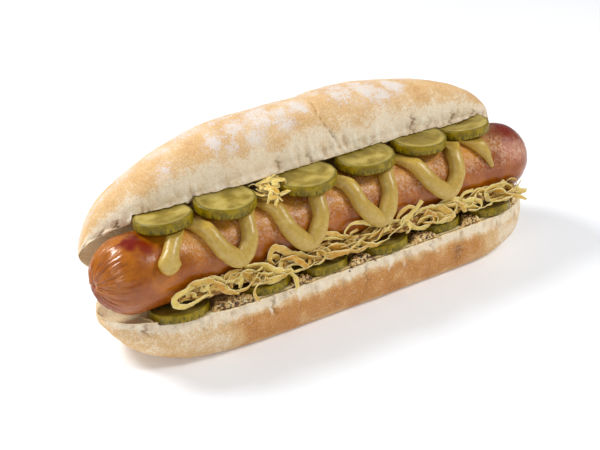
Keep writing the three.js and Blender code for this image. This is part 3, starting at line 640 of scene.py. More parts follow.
def spread_finish():
    """Cream of the grain mustard, with husks ground into it."""
    f = Finish("grain_mustard")
    mottle = f.grain(1.6, 4, 0.6)
    husk = f.cells(1.3)
    husk_tone = f.cells(1.3, output="Color")
    colour = f.mix(tone(246, 226, 172), tone(226, 192, 124), f.step(mottle, 0.35, 0.7))
    colour = f.mix(colour, tone(130, 84, 44), f.step(husk, 0.28, 0.18) * f.step(husk_tone, 0.55, 0.6))
    normal = f.bump(husk, 0.3)
    return f.done(Base_Color=colour, Roughness=0.36, Normal=normal, Specular_IOR_Level=0.5,
                  Subsurface_Weight=0.1, Subsurface_Radius=(1.0, 0.7, 0.35), Subsurface_Scale=0.0015)


def seed_finish():
    """Whole seeds, from dark brown to tan, wet with mustard."""
    f = Finish("mustard_seeds")
    hue = f.paint("hue")
    mottle = f.grain(0.5, 2, 0.5)
    colour = f.mix(tone(66, 34, 20), tone(122, 70, 36), f.step(hue, 0.1, 0.5))
    colour = f.mix(colour, tone(222, 184, 118), f.step(hue, 0.5, 0.55))
    colour = f.mix(colour, tone(240, 212, 156), f.step(mottle, 0.5, 0.75) * 0.35)
    return f.done(Base_Color=colour, Roughness=0.3, Normal=f.bump(mottle, 0.08), Specular_IOR_Level=0.5)


# Roll

def rounded_share(x, reach, rounding):
    """How much of its width or depth a half still has at x."""
    left = x < 0
    share = np.minimum(1, np.abs(x) / np.where(left, reach[0], reach[1]))
    power = np.where(left, rounding[0][0], rounding[1][0])
    root = np.where(left, rounding[0][1], rounding[1][1])
    return (1 - share ** power) ** (1 / root)


def roll_stations(reach, count, fine_from, fine_to):
    """Places along the roll, closer together at the tips and between two named places."""
    share = np.sin(np.linspace(-1, 1, 4001)[1:-1] * math.pi / 2)
    x = share * np.where(share < 0, reach[0], reach[1])
    weight = 1 + 0.9 * smooth(fine_from - 6, fine_from, x) * (1 - smooth(fine_to, fine_to + 6, x))
    effort = np.cumsum(weight)
    return np.interp(np.linspace(effort[0], effort[-1], count), effort, x)


def out_of_sausage(points, gap):
    """Points that would lie in the sausage are moved out to a gap around it."""
    half = SAUSAGE_LENGTH / 2 - SAUSAGE_RADIUS
    axis = np.zeros_like(points)
    axis[:, 0] = np.clip(points[:, 0], -half, half)
    axis[:, 2] = SAUSAGE_HEIGHT
    away = points - axis
    distance = np.linalg.norm(away, axis=1, keepdims=True)
    return np.where(distance < SAUSAGE_RADIUS + gap, axis + away / distance * (SAUSAGE_RADIUS + gap), points)


def slice_place(x, y, z, tilt_x, tilt_y):
    """Turn and centre of a pickle slice, as arrays."""
    return rotation_x(tilt_x) @ rotation_y(tilt_y), np.array([x, y, z], float)


def rotation_x(degrees):
    c, s = math.cos(math.radians(degrees)), math.sin(math.radians(degrees))
    return np.array([[1, 0, 0], [0, c, -s], [0, s, c]])


def rotation_y(degrees):
    c, s = math.cos(math.radians(degrees)), math.sin(math.radians(degrees))
    return np.array([[c, 0, s], [0, 1, 0], [-s, 0, c]])


def lower_pickle_height(y):
    """Height of the underside of a lower slice, which leans back and passes just under the sausage."""
    lean = math.radians(LOWER_PICKLE_LEAN)
    drop = (SAUSAGE_RADIUS + 2 * TOUCH_GAP + LOWER_PICKLE_THICKNESS) / math.cos(lean)
    return SAUSAGE_HEIGHT - drop - y * math.tan(lean)


def upper_places():
    return [slice_place(x, y, UPPER_PICKLE_HEIGHT - sunk, -front, side)
            for x, y, _, side, front, sunk in UPPER_PICKLES]


def lower_places():
    return [slice_place(x, y, lower_pickle_height(y), front - LOWER_PICKLE_LEAN, side)
            for x, y, _, side, front in LOWER_PICKLES]


def out_of_slices(points, rows, places, thickness, side):
    """Points in a slice are moved out through its top (side 1) or its underside (side -1)."""
    points = points.copy()
    for row, (turn, centre) in zip(rows, places):
        local = (points - centre) @ turn
        covered = np.hypot(local[:, 0], local[:, 1]) < row[2] + TOUCH_GAP + 0.3
        inside = covered & (local[:, 2] > -TOUCH_GAP) & (local[:, 2] < thickness + TOUCH_GAP)
        local[inside, 2] = thickness + TOUCH_GAP if side > 0 else -TOUCH_GAP
        points[inside] = local[inside] @ turn.T + centre
    return points


def section_of(crust_points, cut_points, crust_count, cut_count):
    """A closed section from the front edge round the crust and back over the cut, with each point's distance
    from that edge, negative on the cut."""
    crust, crust_distance = spaced(smooth_profile(crust_points, 16), crust_count, 22)
    cut_line = smooth_profile([crust_points[-1], *cut_points, crust_points[0]], 12)
    cut, cut_distance = spaced(cut_line, cut_count + 2, 16, from_end=True)
    section = np.concatenate([crust, cut[1:-1]])
    return section, np.concatenate([crust_distance, -cut_distance[1:-1]])


def on_top_cut(along, out, x):
    """A place from its distance along the bent cut face of the top half, from the hinge, and out of it."""
    bend = (OPEN_ANGLE_AT_EDGE - OPEN_ANGLE_AT_HINGE) / TOP_CUT_WIDTH
    angle = OPEN_ANGLE_AT_HINGE + bend * along
    y = HINGE_Y + (np.sin(angle) - math.sin(OPEN_ANGLE_AT_HINGE)) / bend
    z = HINGE_Z - (np.cos(angle) - math.cos(OPEN_ANGLE_AT_HINGE)) / bend
    droop = END_DROOP * (x / 90) ** 2 * np.clip(along / TOP_CUT_WIDTH, 0, 1)
    return np.stack([x, y + out * np.sin(angle), z - out * np.cos(angle) - droop], axis=-1)


# Tears in the crust near the cut edge: x, distance from the edge where it ends, depth, width and slant
TOP_TEARS = [
    (-91.8, 7, 0.9, 0.6, 0.1), (-85.9, 8, 1, 0.6, -0.1), (-58, 5, 0.7, 0.5, 0), (-20.3, 8, 0.8, 0.6, 0.1),
    (-6, 6, 0.7, 0.5, 0.1), (24, 6, 0.6, 0.5, 0.1), (45, 12, 1.1, 0.6, 0.1), (53, 8, 0.7, 0.5, 0.2),
    (65.7, 9, 0.9, 0.5, 0.1), (77.4, 9, 0.9, 0.5, 0.2),
]
BOTTOM_TEARS = [
    (-88, 9, 0.6, 0.6, 0.1), (-69, 8, 0.4, 0.5, 0.25), (-38, 11, 0.7, 0.5, -0.05), (6, 14, 0.6, 0.5, -0.1),
    (40, 9, 0.5, 0.5, -0.2), (74, 7, 0.4, 0.5, 0.1),
]

# The score across the crown, as x, along and out, from its top to the cut edge and on beside it
SCORE = [
    (5.4, 40.2, 26.7), (3.9, 42.7, 24.6), (2.7, 46.2, 18.9),
    (3.9, 47.6, 13), (6.8, 47.2, 6.3), (9.7, 45.3, 2),
]


def tear_depth(x, edge, tears):
    """Depth of the tears at places x along the roll and edge millimetres from the cut edge."""
    depth = np.zeros(np.broadcast(x, edge).shape)
    for tear_x, reach, deepest, width, slant in tears:
        wander = 0.7 * np.sin(1.1 * edge + tear_x) + 0.4 * np.sin(2.7 * edge + 2 * tear_x)
        across = (x - tear_x - slant * edge - wander) / width
        ends = (1 - smooth(reach * 0.5, reach, edge)) * smooth(-0.5, 0.5, edge)
        depth += deepest * np.exp(-across ** 2) * ends
    return depth


def distance_to_line(points, line):
    """Distance of points from a chain of straight pieces, with the share of the chain that is nearest."""
    line = np.array(line, float)
    nearest = np.full(len(points), 1e9)
    share = np.zeros(len(points))
    for index, (start, end) in enumerate(zip(line, line[1:])):
        span = end - start
        part = np.clip((points - start) @ span / (span @ span), 0, 1)
        distance = np.linalg.norm(points - start - part[:, None] * span, axis=1)
        closer = distance < nearest
        nearest = np.where(closer, distance, nearest)
        share = np.where(closer, (index + part) / (len(line) - 1), share)
    return nearest, share


# Where flour lies on the crown: x, along and out on the section, and how far it reaches
FLOUR_PATCHES = [
    (-64.6, 43, 17, 8), (-71, 41, 17, 6), (-43, 45, 19.5, 8), (-38, 46.5, 15.5, 6), (-32, 44.3, 21.5, 9),
    (-27, 46.5, 17.2, 8), (-20, 43.5, 23.2, 11), (-12, 45, 20.5, 9), (-3, 43.4, 23.5, 7), (19, 43.5, 24, 10),
    (29, 44, 23, 11), (35, 46, 18.6, 8), (44, 43.5, 22.7, 8), (-60, 26, 31, 12), (-20, 24, 31, 14),
    (30, 26, 31, 13), (5, 12, 31, 12), (64, 20, 30, 10), (-45, 8, 29, 11),
]


# Points round the crust and over the cut face of each half, and stations along it
CRUST_POINTS = 122
CUT_POINTS = 42
ROLL_STATIONS = 290
# The darkest painted shade in a tear
DEEPEST_TEAR_TONE = 0.75


def half_grid(crust, cut, reach, depth_rounding, fine_from, fine_to):
    """A half's section and stations, how far each station narrows and thins it, and for each point of the
    grid its x and its distance from the cut edge."""
    section, edge = section_of(crust, cut, CRUST_POINTS, CUT_POINTS)
    x = roll_stations(reach, ROLL_STATIONS, fine_from, fine_to)
    width = rounded_share(x, reach, WIDTH_ROUNDING)[:, None]
    depth = rounded_share(x, reach, depth_rounding)[:, None]
    station = np.broadcast_to(x[:, None], (len(x), len(section)))
    return section, x, width, depth, station, np.broadcast_to(edge, station.shape)


def frayed_edge(ragged, distance):
    """How far the cut edge strays at each station, fading within 4 mm of it."""
    return ragged[:, None] * (1 - smooth(0.5, 4, np.abs(distance)))


def fibre_creases(points, edge_distance, run, layer, coarse, fine, seed):
    """Creases that run from the cut edge over the crust, as it tore."""
    fibres = np.stack([points[:, 0], edge_distance / run, np.full(len(points), float(layer))], axis=1)
    return coarse * noise(fibres, 2.6, seed) + fine * noise(fibres, 1.3, seed + 1)


def half_piece(name, points, triangles, on_crust, bake, flour, torn, crease):
    return make_piece(name, points, triangles, bake=bake, flour=flour, crumb=1 - on_crust,
                      torn=np.clip(torn, 0, DEEPEST_TEAR_TONE), crease=crease * on_crust)


def top_half():
    section, x, width, depth, station, distance = half_grid(
        TOP_CRUST, TOP_CUT, TOP_REACH, TOP_DEPTH_ROUNDING, -4, 16)
    ragged = 1 + 0.8 * noise_along(x, 3.6, 3) + 0.9 * noise_along(x, 1.6, 4)
    ragged += 2.4 * np.exp(-((x + 30.5) / 6.5) ** 2)
    frayed = frayed_edge(ragged, distance)
    along, out = section[:, 0], section[:, 1]
    lobe = LOBE_RISE * smooth(LOBE_START, LOBE_END, station) * (1 - smooth(LOBE_END, LOBE_FADE, station))
    lobe = lobe * smooth(18, 28, out) * smooth(4, 20, along)
    places = on_top_cut(TOP_MIDDLE + (along + frayed - TOP_MIDDLE) * width, out * depth + lobe, station)
    tips = [on_top_cut(np.float64(TOP_MIDDLE), 0, np.float64(tip)) for tip in (-TOP_REACH[0], TOP_REACH[1])]
    points, triangles = loft(places, tips)
    normals = point_normals(points, triangles)

    on_crust = with_tips(smooth(-0.5, 1.5, distance), 0.5)
    edge_distance = with_tips(distance, 20)
    flat_places = np.stack(np.broadcast_arrays(station, along, out), axis=-1).reshape(-1, 3)
    flat_places = np.concatenate([flat_places, [[-98, 20, 0], [98, 20, 0]]])
    crack, share = distance_to_line(flat_places + 0.9 * noise(flat_places, 2.6, 7)[:, None], SCORE)
    crack_depth = 1.1 * np.exp(-(crack / 0.4) ** 2) * smooth(0, 0.25, share)
    crack_depth -= 0.18 * np.exp(-((crack - 1.3) / 0.8) ** 2) * smooth(0, 0.25, share)
    lumps = 0.75 * noise(points, 26, 1) + 0.4 * noise(points, 10, 2) + 0.14 * noise(points, 3.4, 3)
    near_edge = (1 - smooth(3, 13, edge_distance)) * (0.75 + 0.5 * noise(points, 9, 12))
    # Creases near the cut edge, which shape the crust and carry its painted highlight and shade
    crease = fibre_creases(points, edge_distance, 3.4, 0, 1.1, 0.7, 5) * near_edge
    tears = tear_depth(points[:, 0], edge_distance, TOP_TEARS)
    relief = lumps + 0.5 * crease - tears - crack_depth
    lift = on_crust * relief + (1 - on_crust) * 0.2 * noise(points, 3, 6)
    points = points + normals * lift[:, None]
    points = out_of_slices(points, UPPER_PICKLES, upper_places(), UPPER_PICKLE_THICKNESS, 1)
    points = out_of_sausage(points, TOUCH_GAP)

    crown = smooth(7, 19, edge_distance + 3 * noise(points, 9, 8))
    left_pale = 1 - smooth(-92, -72, flat_places[:, 0])
    bake = (0.06 + 0.56 * crown) * (1 - 0.6 * left_pale * (1 - smooth(10, 20, edge_distance)))
    bake += 0.14 * smooth(50, 80, flat_places[:, 0]) * crown + 0.2 * crown * noise(points, 14, 10)
    flour = np.zeros(len(points))
    for patch_x, patch_along, patch_out, reach in FLOUR_PATCHES:
        away = np.linalg.norm(flat_places - (patch_x, patch_along, patch_out), axis=1)
        flour = np.maximum(flour, 1 - smooth(0, reach * 1.25, away))
    flour = np.maximum(flour, 0.6 * smooth(21, 29, flat_places[:, 2]))
    flour *= 0.8 + 0.5 * noise(points, 6, 9)
    # Painted shade in the tears and the score, darker where they are deeper
    torn = tears * 0.8 + crack_depth * 0.45
    return half_piece("bread_roll", points, triangles, on_crust, bake, flour, torn, crease)


def bottom_half():
    section, x, width, depth, station, distance = half_grid(
        BOTTOM_CRUST, BOTTOM_CUT, BOTTOM_REACH, BOTTOM_DEPTH_ROUNDING, -40, 10)
    ragged = 0.6 * noise_along(x, 3.2, 13) + 0.4 * noise_along(x, 1.4, 14)
    frayed = frayed_edge(ragged, distance)
    y, z = section[:, 0], np.maximum(0, section[:, 1])
    sunk = np.where(z < CUT_HEIGHT / 2, FLAT_SINK, 0)
    across = ROLL_CENTRE_Y + (y + frayed - ROLL_CENTRE_Y) * width
    up = np.maximum(0, CUT_HEIGHT - (CUT_HEIGHT + sunk - z) * depth)
    lip = (1 - smooth(0.4, 3, np.abs(distance))) * smooth(-96, -86, station) * (1 - smooth(-66, -56, station))
    places = np.stack([station, across, up + 0.9 * lip], axis=-1)
    tips = [(-BOTTOM_REACH[0], ROLL_CENTRE_Y, CUT_HEIGHT), (BOTTOM_REACH[1], ROLL_CENTRE_Y, CUT_HEIGHT)]
    points, triangles = loft(places, tips)
    normals = point_normals(points, triangles)

    on_crust = with_tips(smooth(-0.5, 1.5, distance), 0.5)
    edge_distance = with_tips(distance, 20)
    lumps = 0.5 * noise(points, 24, 11) + 0.3 * noise(points, 8, 12) + 0.12 * noise(points, 3, 13)
    near_edge = 1 - smooth(4, 10, edge_distance)
    crease = fibre_creases(points, edge_distance, 2.6, 1, 0.7, 0.5, 15) * near_edge
    tears = tear_depth(points[:, 0], edge_distance, BOTTOM_TEARS)
    lift = on_crust * (lumps + 0.4 * crease - tears) + (1 - on_crust) * 0.12 * (noise(points, 3, 16) - 1)
    resting = 1 - smooth(0.3, 3, points[:, 2])
    points = points + normals * (lift * (1 - resting))[:, None]
    points[:, 2] = np.maximum(points[:, 2], 0)
    points = out_of_slices(points, LOWER_PICKLES, lower_places(), LOWER_PICKLE_THICKNESS, -1)
    points = out_of_sausage(points, TOUCH_GAP)

    x_place, height = points[:, 0], points[:, 2]
    wander = 1.6 * noise(points, 6, 17)
    band = smooth(2.2, 7, edge_distance + wander)
    low = smooth(0.5, 5, height + wander)
    front = smooth(-62, -46, x_place + 2 * wander) * (1 - smooth(54, 82, x_place))
    # Painted shade: the crust of the left end darkens towards the bottom
    left = (1 - smooth(-84, -50, x_place)) * smooth(2, 10, edge_distance)
    left = left * (0.44 - 0.32 * smooth(2, 9, height))
    bake = 0.02 + left + band * (0.3 + 0.98 * front) * (0.6 + 0.4 * low) * (1 + 0.35 * noise(points, 7, 18))
    bake = np.where(height < 1, 0.9, bake)
    bare = np.zeros(len(points))
    # The tears get painted shade, darker where they are deeper
    return half_piece("roll_base", points, triangles, on_crust, bake, bare, tears * 0.8, crease)


# Sausage

# Scorched places: middle, reach and strength
SCORCHES = [
    ((-87.5, -2.8, 51.5), 6, 1), ((-83.5, -6.2, 50.6), 5, 0.9), ((-80, -9, 49), 4, 0.4),
    ((91, -3, 50.8), 10, 0.95), ((87, -6.5, 50), 6, 0.6), ((83, -4, 51.4), 5, 0.4), ((-36, -5, 51), 5, 0.3),
]

# A painted sheen, a pale highlight colour at the right end: its middle, and how many times shorter it is
# along each axis
SHEEN_PLACE = (87.5, -11.5, 45.5)
SHEEN_STRETCH = (1, 1.3, 1.3)


def sausage():
    """The link with its gathered left end, its slight dents and the shrivel of its skin."""
    stations, sides = 300, 180
    turn = np.arange(sides) / sides * 2 * math.pi
    half = SAUSAGE_LENGTH / 2 - SAUSAGE_RADIUS
    quarter = SAUSAGE_RADIUS * math.pi / 2
    reach = np.linspace(-half - quarter, half + quarter, stations + 2)[1:-1]
    beyond = np.maximum(0, np.abs(reach) - half) / SAUSAGE_RADIUS
    x = np.sign(reach) * (np.minimum(np.abs(reach), half) + SAUSAGE_RADIUS * np.sin(beyond))
    ring_radius = SAUSAGE_RADIUS * np.cos(beyond)
    y = -ring_radius[:, None] * np.cos(turn)
    z = SAUSAGE_HEIGHT + ring_radius[:, None] * np.sin(turn)
    places = np.stack([np.broadcast_to(x[:, None], y.shape), y, z], axis=-1)
    dimple = 0.05 * SAUSAGE_RADIUS
    tip = SAUSAGE_LENGTH / 2 - dimple
    points, triangles = loft(places, [(-tip, 0, SAUSAGE_HEIGHT), (tip, 0, SAUSAGE_HEIGHT)])
    normals = point_normals(points, triangles)

    from_left = with_tips(np.broadcast_to((reach + half + quarter)[:, None], y.shape), 0)
    from_right = with_tips(np.broadcast_to((half + quarter - reach)[:, None], y.shape), 0)
    round_turn = with_tips(np.broadcast_to(turn, y.shape), 0)
    spokes = np.stack([7 * np.cos(round_turn), 7 * np.sin(round_turn), from_left / 14], axis=1)
    gathers = np.abs(noise(spokes, 1.05, 21)) + 0.5 * np.abs(noise(spokes, 0.6, 22))
    pull = smooth(0.5, 5, from_left) * (1 - smooth(9, 25, from_left))
    right_pull = smooth(0.5, 4, from_right) * (1 - smooth(5, 14, from_right))
    lift = -1.0 * gathers * pull - 0.5 * gathers * right_pull
    lift += 0.28 * noise(points, 22, 23) + 0.16 * noise(points, 7, 24) + 0.05 * noise(points, 2, 25)
    lift -= 0.9 * (1 - smooth(0, 3.5, from_left)) + 0.6 * (1 - smooth(0, 3, from_right))
    points = points + normals * (lift - 0.15)[:, None]

    up = np.sin(round_turn)
    blotch = noise(points, 12, 26)
    red = smooth(0.1, 0.8, -up + 0.25 * blotch) * 0.8 + 0.5 * smooth(60, 95, points[:, 0]) + 0.15 * blotch
    scorch = 0.22 * smooth(0.3, 0.7, noise(points, 16, 28)) * smooth(0.4, 0.9, up)
    for place, size, strength in SCORCHES:
        spot = np.linalg.norm(points - place, axis=1) + 2.8 * noise(points, 3, 27)
        scorch = np.maximum(scorch, strength * (1 - smooth(0.3, 1, spot / size)))
    # Blisters along the top: their pale dots are painted highlights, and the painted sheen is added into them
    blister = smooth(-74, -60, points[:, 0]) * smooth(0.1, 0.5, up) * (0.6 + 0.6 * noise(points, 7, 29))
    # Painted sheen: a soft pale highlight patch at the right end
    from_sheen = np.linalg.norm((points - SHEEN_PLACE) * SHEEN_STRETCH, axis=1) + 1.6 * noise(points, 4, 30)
    sheen = 1 - smooth(3, 10, from_sheen)
    blister = np.clip(np.maximum(blister * (1 - 0.7 * scorch), 0.7 * sheen), 0, 1)
    top = smooth(0.35, 0.95, up) * smooth(-84, -70, points[:, 0]) * (1 - smooth(70, 86, points[:, 0]))
    gloss = 1 - smooth(-88, -74, points[:, 0])
    piece = make_piece("sausage_skin", points, triangles, red=np.clip(red, 0, 1),
                       scorch=np.clip(scorch, 0, 1), blister=blister, top=top, sheen=sheen, gloss=gloss)
    serve(piece, sausage_finish(), "sausage_skin", "sausage")


# Mustard

def mustard_line(steps):
    """The centre line in the plane of x and distance round the sausage."""
    def around(angle):
        return MUSTARD_LINE_RADIUS * math.radians(angle)
    points = [(x, around(angle)) for x, angle in MUSTARD_START]
    leave_x = MUSTARD_START[-1][0]
    for down_high, down_low, turn_x, turn_angle, up_low, up_high in MUSTARD_VALLEYS:
        points.append(((leave_x + down_high) / 2, around(MUSTARD_CREST_ANGLE)))
        points += [(down_high, around(60)), (down_low, around(25)), (turn_x, around(turn_angle))]
        points += [(up_low, around(25)), (up_high, around(60))]
        leave_x = up_high
    points.append(((leave_x + MUSTARD_TAIL[0][0]) / 2, around(MUSTARD_CREST_ANGLE)))
    points += [(x, around(angle)) for x, angle in MUSTARD_TAIL]
    return smooth_line(points, steps)


BEAD_STEPS = 640
BEAD_SIDES = 40
BEAD_TUCK = 0.42
BEAD_WAVER_LENGTH = 420


def mustard():
    """The piped bead, rounder than its part, with the slow waver of the hand."""
    line = mustard_line(BEAD_STEPS)
    tangent = directions(line)
    share = np.arange(BEAD_STEPS + 1) / BEAD_STEPS
    blob = 1 + 0.42 * (1 - smooth(0.01, 0.032, share)) - 0.22 * np.exp(-((share - 0.046) / 0.014) ** 2)
    pooled = 1 + 0.16 * (1 - smooth(0.15, 0.6, line[:, 1] / MUSTARD_LINE_RADIUS))
    start = np.sqrt(np.minimum(1, (share + 0.0003) / 0.014))
    tail = 0.26 + 0.74 * (1 - smooth(0.955, 1, share))
    tail *= np.sqrt(np.minimum(1, (1 - share + 0.0002) / 0.004))
    way = share * BEAD_WAVER_LENGTH
    waver = 1 + 0.06 * noise_along(way, 9, 31) + 0.04 * noise_along(way, 3.4, 32)
    half_width = MUSTARD_HALF_WIDTH * np.maximum(blob, pooled) * start * tail * waver
    height = MUSTARD_HEIGHT * np.minimum(1, half_width / MUSTARD_HALF_WIDTH)
    turn = np.linspace(-BEAD_TUCK, math.pi + BEAD_TUCK, BEAD_SIDES)
    across = np.cos(turn)
    up = np.maximum(0, (np.sin(turn) + 0.4) / 1.4)
    floor_radius = SAUSAGE_RADIUS + TOUCH_GAP - 0.1
    x = line[:, 0, None] - tangent[:, 1, None] * across * half_width[:, None]
    angle = (line[:, 1, None] + tangent[:, 0, None] * across * half_width[:, None]) / MUSTARD_LINE_RADIUS
    slope = np.sin(np.clip(angle, 0.4, math.pi - 0.4))
    free = floor_radius + up * height[:, None]
    pressed = np.maximum(MUSTARD_PRESS_RADIUS / slope, floor_radius + up)
    radius = np.minimum(free, pressed)
    places = np.stack([x, -radius * np.cos(angle), SAUSAGE_HEIGHT + radius * np.sin(angle)], axis=-1)
    points, triangles = loft_between(places)
    normals = point_normals(points, triangles)
    points = points + normals * (0.12 * noise(points, 4, 33) + 0.04 * noise(points, 1.6, 34))[:, None]
    points = out_of_slices(points, UPPER_PICKLES, upper_places(), UPPER_PICKLE_THICKNESS, -1)
    piece = make_piece("mustard_bead", points, triangles)
    serve(piece, mustard_finish(), "mustard", "mustard")


# Pickles

def pickle_slice(radius, thickness, draws, seed):
    """A slice round its own axis: rounded skin, slightly sunk flesh and three groups of seeds."""
    sides = 120
    phase = draws.between(0, 2 * math.pi)
    oval = draws.between(0.95, 1)
    turn = np.arange(sides) / sides * 2 * math.pi
    face = np.array([0.04, 0.1, 0.18, 0.27, 0.36, 0.45, 0.54, 0.62, 0.7, 0.77, 0.83, 0.88, 0.92, 0.95])
    corner = np.linspace(0, math.pi / 2, 5)
    rounding = 0.8 / thickness
    rim_share = 1 - 0.05 * (1 - np.sin(corner))
    levels = [(s, 0) for s in face]
    levels += [(s, rounding * (1 - math.cos(a))) for s, a in zip(rim_share, corner)]
    levels += [(1, level) for level in (0.25, 0.4, 0.5, 0.6, 0.75)]
    levels += [(s, 1 - rounding * (1 - math.cos(a))) for s, a in zip(rim_share[::-1], corner[::-1])]
    levels += [(s, 1) for s in face[::-1]]
    share = np.array([s for s, _ in levels])[:, None]
    level = np.array([up for _, up in levels])[:, None]
    outline = radius * (1 + 0.012 * np.cos(5 * turn + phase))
    outline = outline * (1 + 0.012 * noise_along(turn * radius, 3, seed) * smooth(0, 0.6, turn))
    x = share * outline * np.cos(turn)
    y = share * oval * outline * np.sin(turn)
    z = np.broadcast_to(level * thickness, x.shape)
    seeds = np.zeros(x.shape)
    for group in range(3):
        middle = phase + group * 2 * math.pi / 3
        for index in range(7):
            angle = middle + (index - 3) * 0.24 + draws.between(-0.05, 0.05)
            distance = radius * (0.5 + draws.between(-0.08, 0.08))
            ahead = x * math.cos(angle) + y * math.sin(angle) - distance
            beside = y * math.cos(angle) - x * math.sin(angle)
            seeds = np.maximum(seeds, 1 - smooth(0.6, 1.3, np.hypot(ahead / 1.9, beside / 0.75)))
    facing = np.where(level > 0.5, 1, -1)
    on_face = 1 - smooth(0.88, 0.96, share)
    sunk = 0.22 * (1 - smooth(0.7, 0.95, share))
    z = z + facing * on_face * (0.05 * seeds - sunk)
    rim = np.broadcast_to(smooth(0.955, 0.99, share), x.shape)
    points, triangles = loft(np.stack([x, y, z], axis=-1), [(0, 0, 0.2), (0, 0, thickness - 0.2)])
    uneven = 0.07 * noise(points + 50 * seed, 2.2, seed)
    points = points + point_normals(points, triangles) * uneven[:, None]
    paints = {
        "radial": with_tips(np.broadcast_to(share, x.shape)),
        "rim": with_tips(rim),
        "seed": with_tips(seeds * on_face),
        "turn": with_tips(np.broadcast_to(turn * radius, x.shape)),
        "depth": with_tips(np.broadcast_to(level * thickness, x.shape)),
    }
    return points, triangles, paints


def pickles():
    finish = pickle_finish()
    upper = ("pickle_upper", UPPER_PICKLES, upper_places(), UPPER_PICKLE_THICKNESS, Draws(11))
    lower = ("pickle_lower", LOWER_PICKLES, lower_places(), LOWER_PICKLE_THICKNESS, Draws(23))
    for name, rows, places, thickness, draws in (upper, lower):
        for index, (row, (turn, centre)) in enumerate(zip(rows, places), start=1):
            points, triangles, paints = pickle_slice(row[2], thickness, draws, index + 40)
            piece = make_piece(f"{name}_slice_{index}", points @ turn.T + centre, triangles, **paints)
            serve(piece, finish, "pickle", f"{name}_{index}")


# Sauerkraut

SLOPE_STEPS = 6
SLOPE = smooth_profile(HEAP_SLOPE, SLOPE_STEPS)
SLOPE_WAYS = running_length(SLOPE)


def on_slope(x, down, lift):
    """Places from x, the way down the slope from where the sausage is widest, and the lift off the slope."""
    x, down, lift = np.broadcast_arrays(np.asarray(x, float), down, lift)
    way = np.clip(down + SLOPE_WAYS[SLOPE_STEPS], 0.01, SLOPE_WAYS[-1] - 0.01)
    following = np.searchsorted(SLOPE_WAYS, way)
    travel = (SLOPE[following] - SLOPE[following - 1])
    travel = travel / np.linalg.norm(travel, axis=-1, keepdims=True)
    y = np.interp(way, SLOPE_WAYS, SLOPE[:, 0]) + lift * travel[..., 1]
    z = np.interp(way, SLOPE_WAYS, SLOPE[:, 1]) - lift * travel[..., 0]
    return np.stack([x, y, z], axis=-1)


def lay_shred(heap, points, width, thickness, twist, waver, seed, hue):
    """A flat, limp shred along a smooth line, turned slowly about it, with wavy edges."""
    hand_set = np.array(points, float)
    length = running_length(hand_set)[-1]
    steps = max(12, int(length / 0.8))
    line = smooth_line(points, steps)
    share = np.linspace(0, 1, steps + 1)
    reach = np.stack([share * length, np.full(steps + 1, 7.7 * seed), np.zeros(steps + 1)], axis=1)
    for axis in range(3):
        bend = 0.9 * noise(reach, 5, seed + axis) + 0.35 * noise(reach, 2.2, seed + axis + 3)
        line[:, axis] += waver * bend * np.sin(math.pi * share)
    tangent = directions(line)
    outward = np.stack([np.zeros(steps + 1), line[:, 1], line[:, 2] - SAUSAGE_HEIGHT], axis=1)
    side = np.cross(tangent, outward)
    side /= np.maximum(np.linalg.norm(side, axis=1, keepdims=True), 1e-6)
    face = np.cross(side, tangent)
    turn = twist * (share - 0.5) + 1.3 * waver * noise(reach, 7, seed + 5)
    cos, sin = np.cos(turn)[:, None], np.sin(turn)[:, None]
    side, face = side * cos + face * sin, face * cos - side * sin
    taper = 0.4 + 0.6 * np.sin(math.pi * np.clip(share, 0.06, 0.94)) ** 0.5
    half = width / 2 * taper * (1 + 0.4 * noise(reach, 4, seed + 7) + 0.25 * noise(reach, 1.6, seed + 8))
    corners = [(-1, 0), (-0.92, 0.8), (-0.35, 1), (0.35, 1), (0.92, 0.8), (1, 0),
               (0.92, -0.8), (0.35, -1), (-0.35, -1), (-0.92, -0.8)]
    curl = 0.9 * waver * noise(reach, 6, seed + 9)
    rings = []
    for across, up in corners:
        raised = up * thickness / 2 * taper + curl * (across ** 2 - 0.4) * width * 0.5
        rings.append(line + side * (across * half)[:, None] + face * raised[:, None])
    edge = np.broadcast_to(np.abs([across for across, _ in corners]), (steps + 1, len(corners)))
    shred, triangles = loft(np.stack(rings, axis=1), [line[0], line[-1]])
    heap.add(shred, triangles, hue=hue, edge=with_tips(edge, 1))


def cut_face_height(x, y):
    """Height of the lower cut face, with its trough."""
    width = rounded_share(x, BOTTOM_REACH, WIDTH_ROUNDING)
    depth = rounded_share(x, BOTTOM_REACH, BOTTOM_DEPTH_ROUNDING)
    across = ROLL_CENTRE_Y + (y - ROLL_CENTRE_Y) / width
    line = np.array([BOTTOM_CRUST[0], *BOTTOM_CUT[::-1], BOTTOM_CRUST[-1]], float)
    return CUT_HEIGHT - (CUT_HEIGHT - np.interp(across, line[:, 0], line[:, 1])) * depth


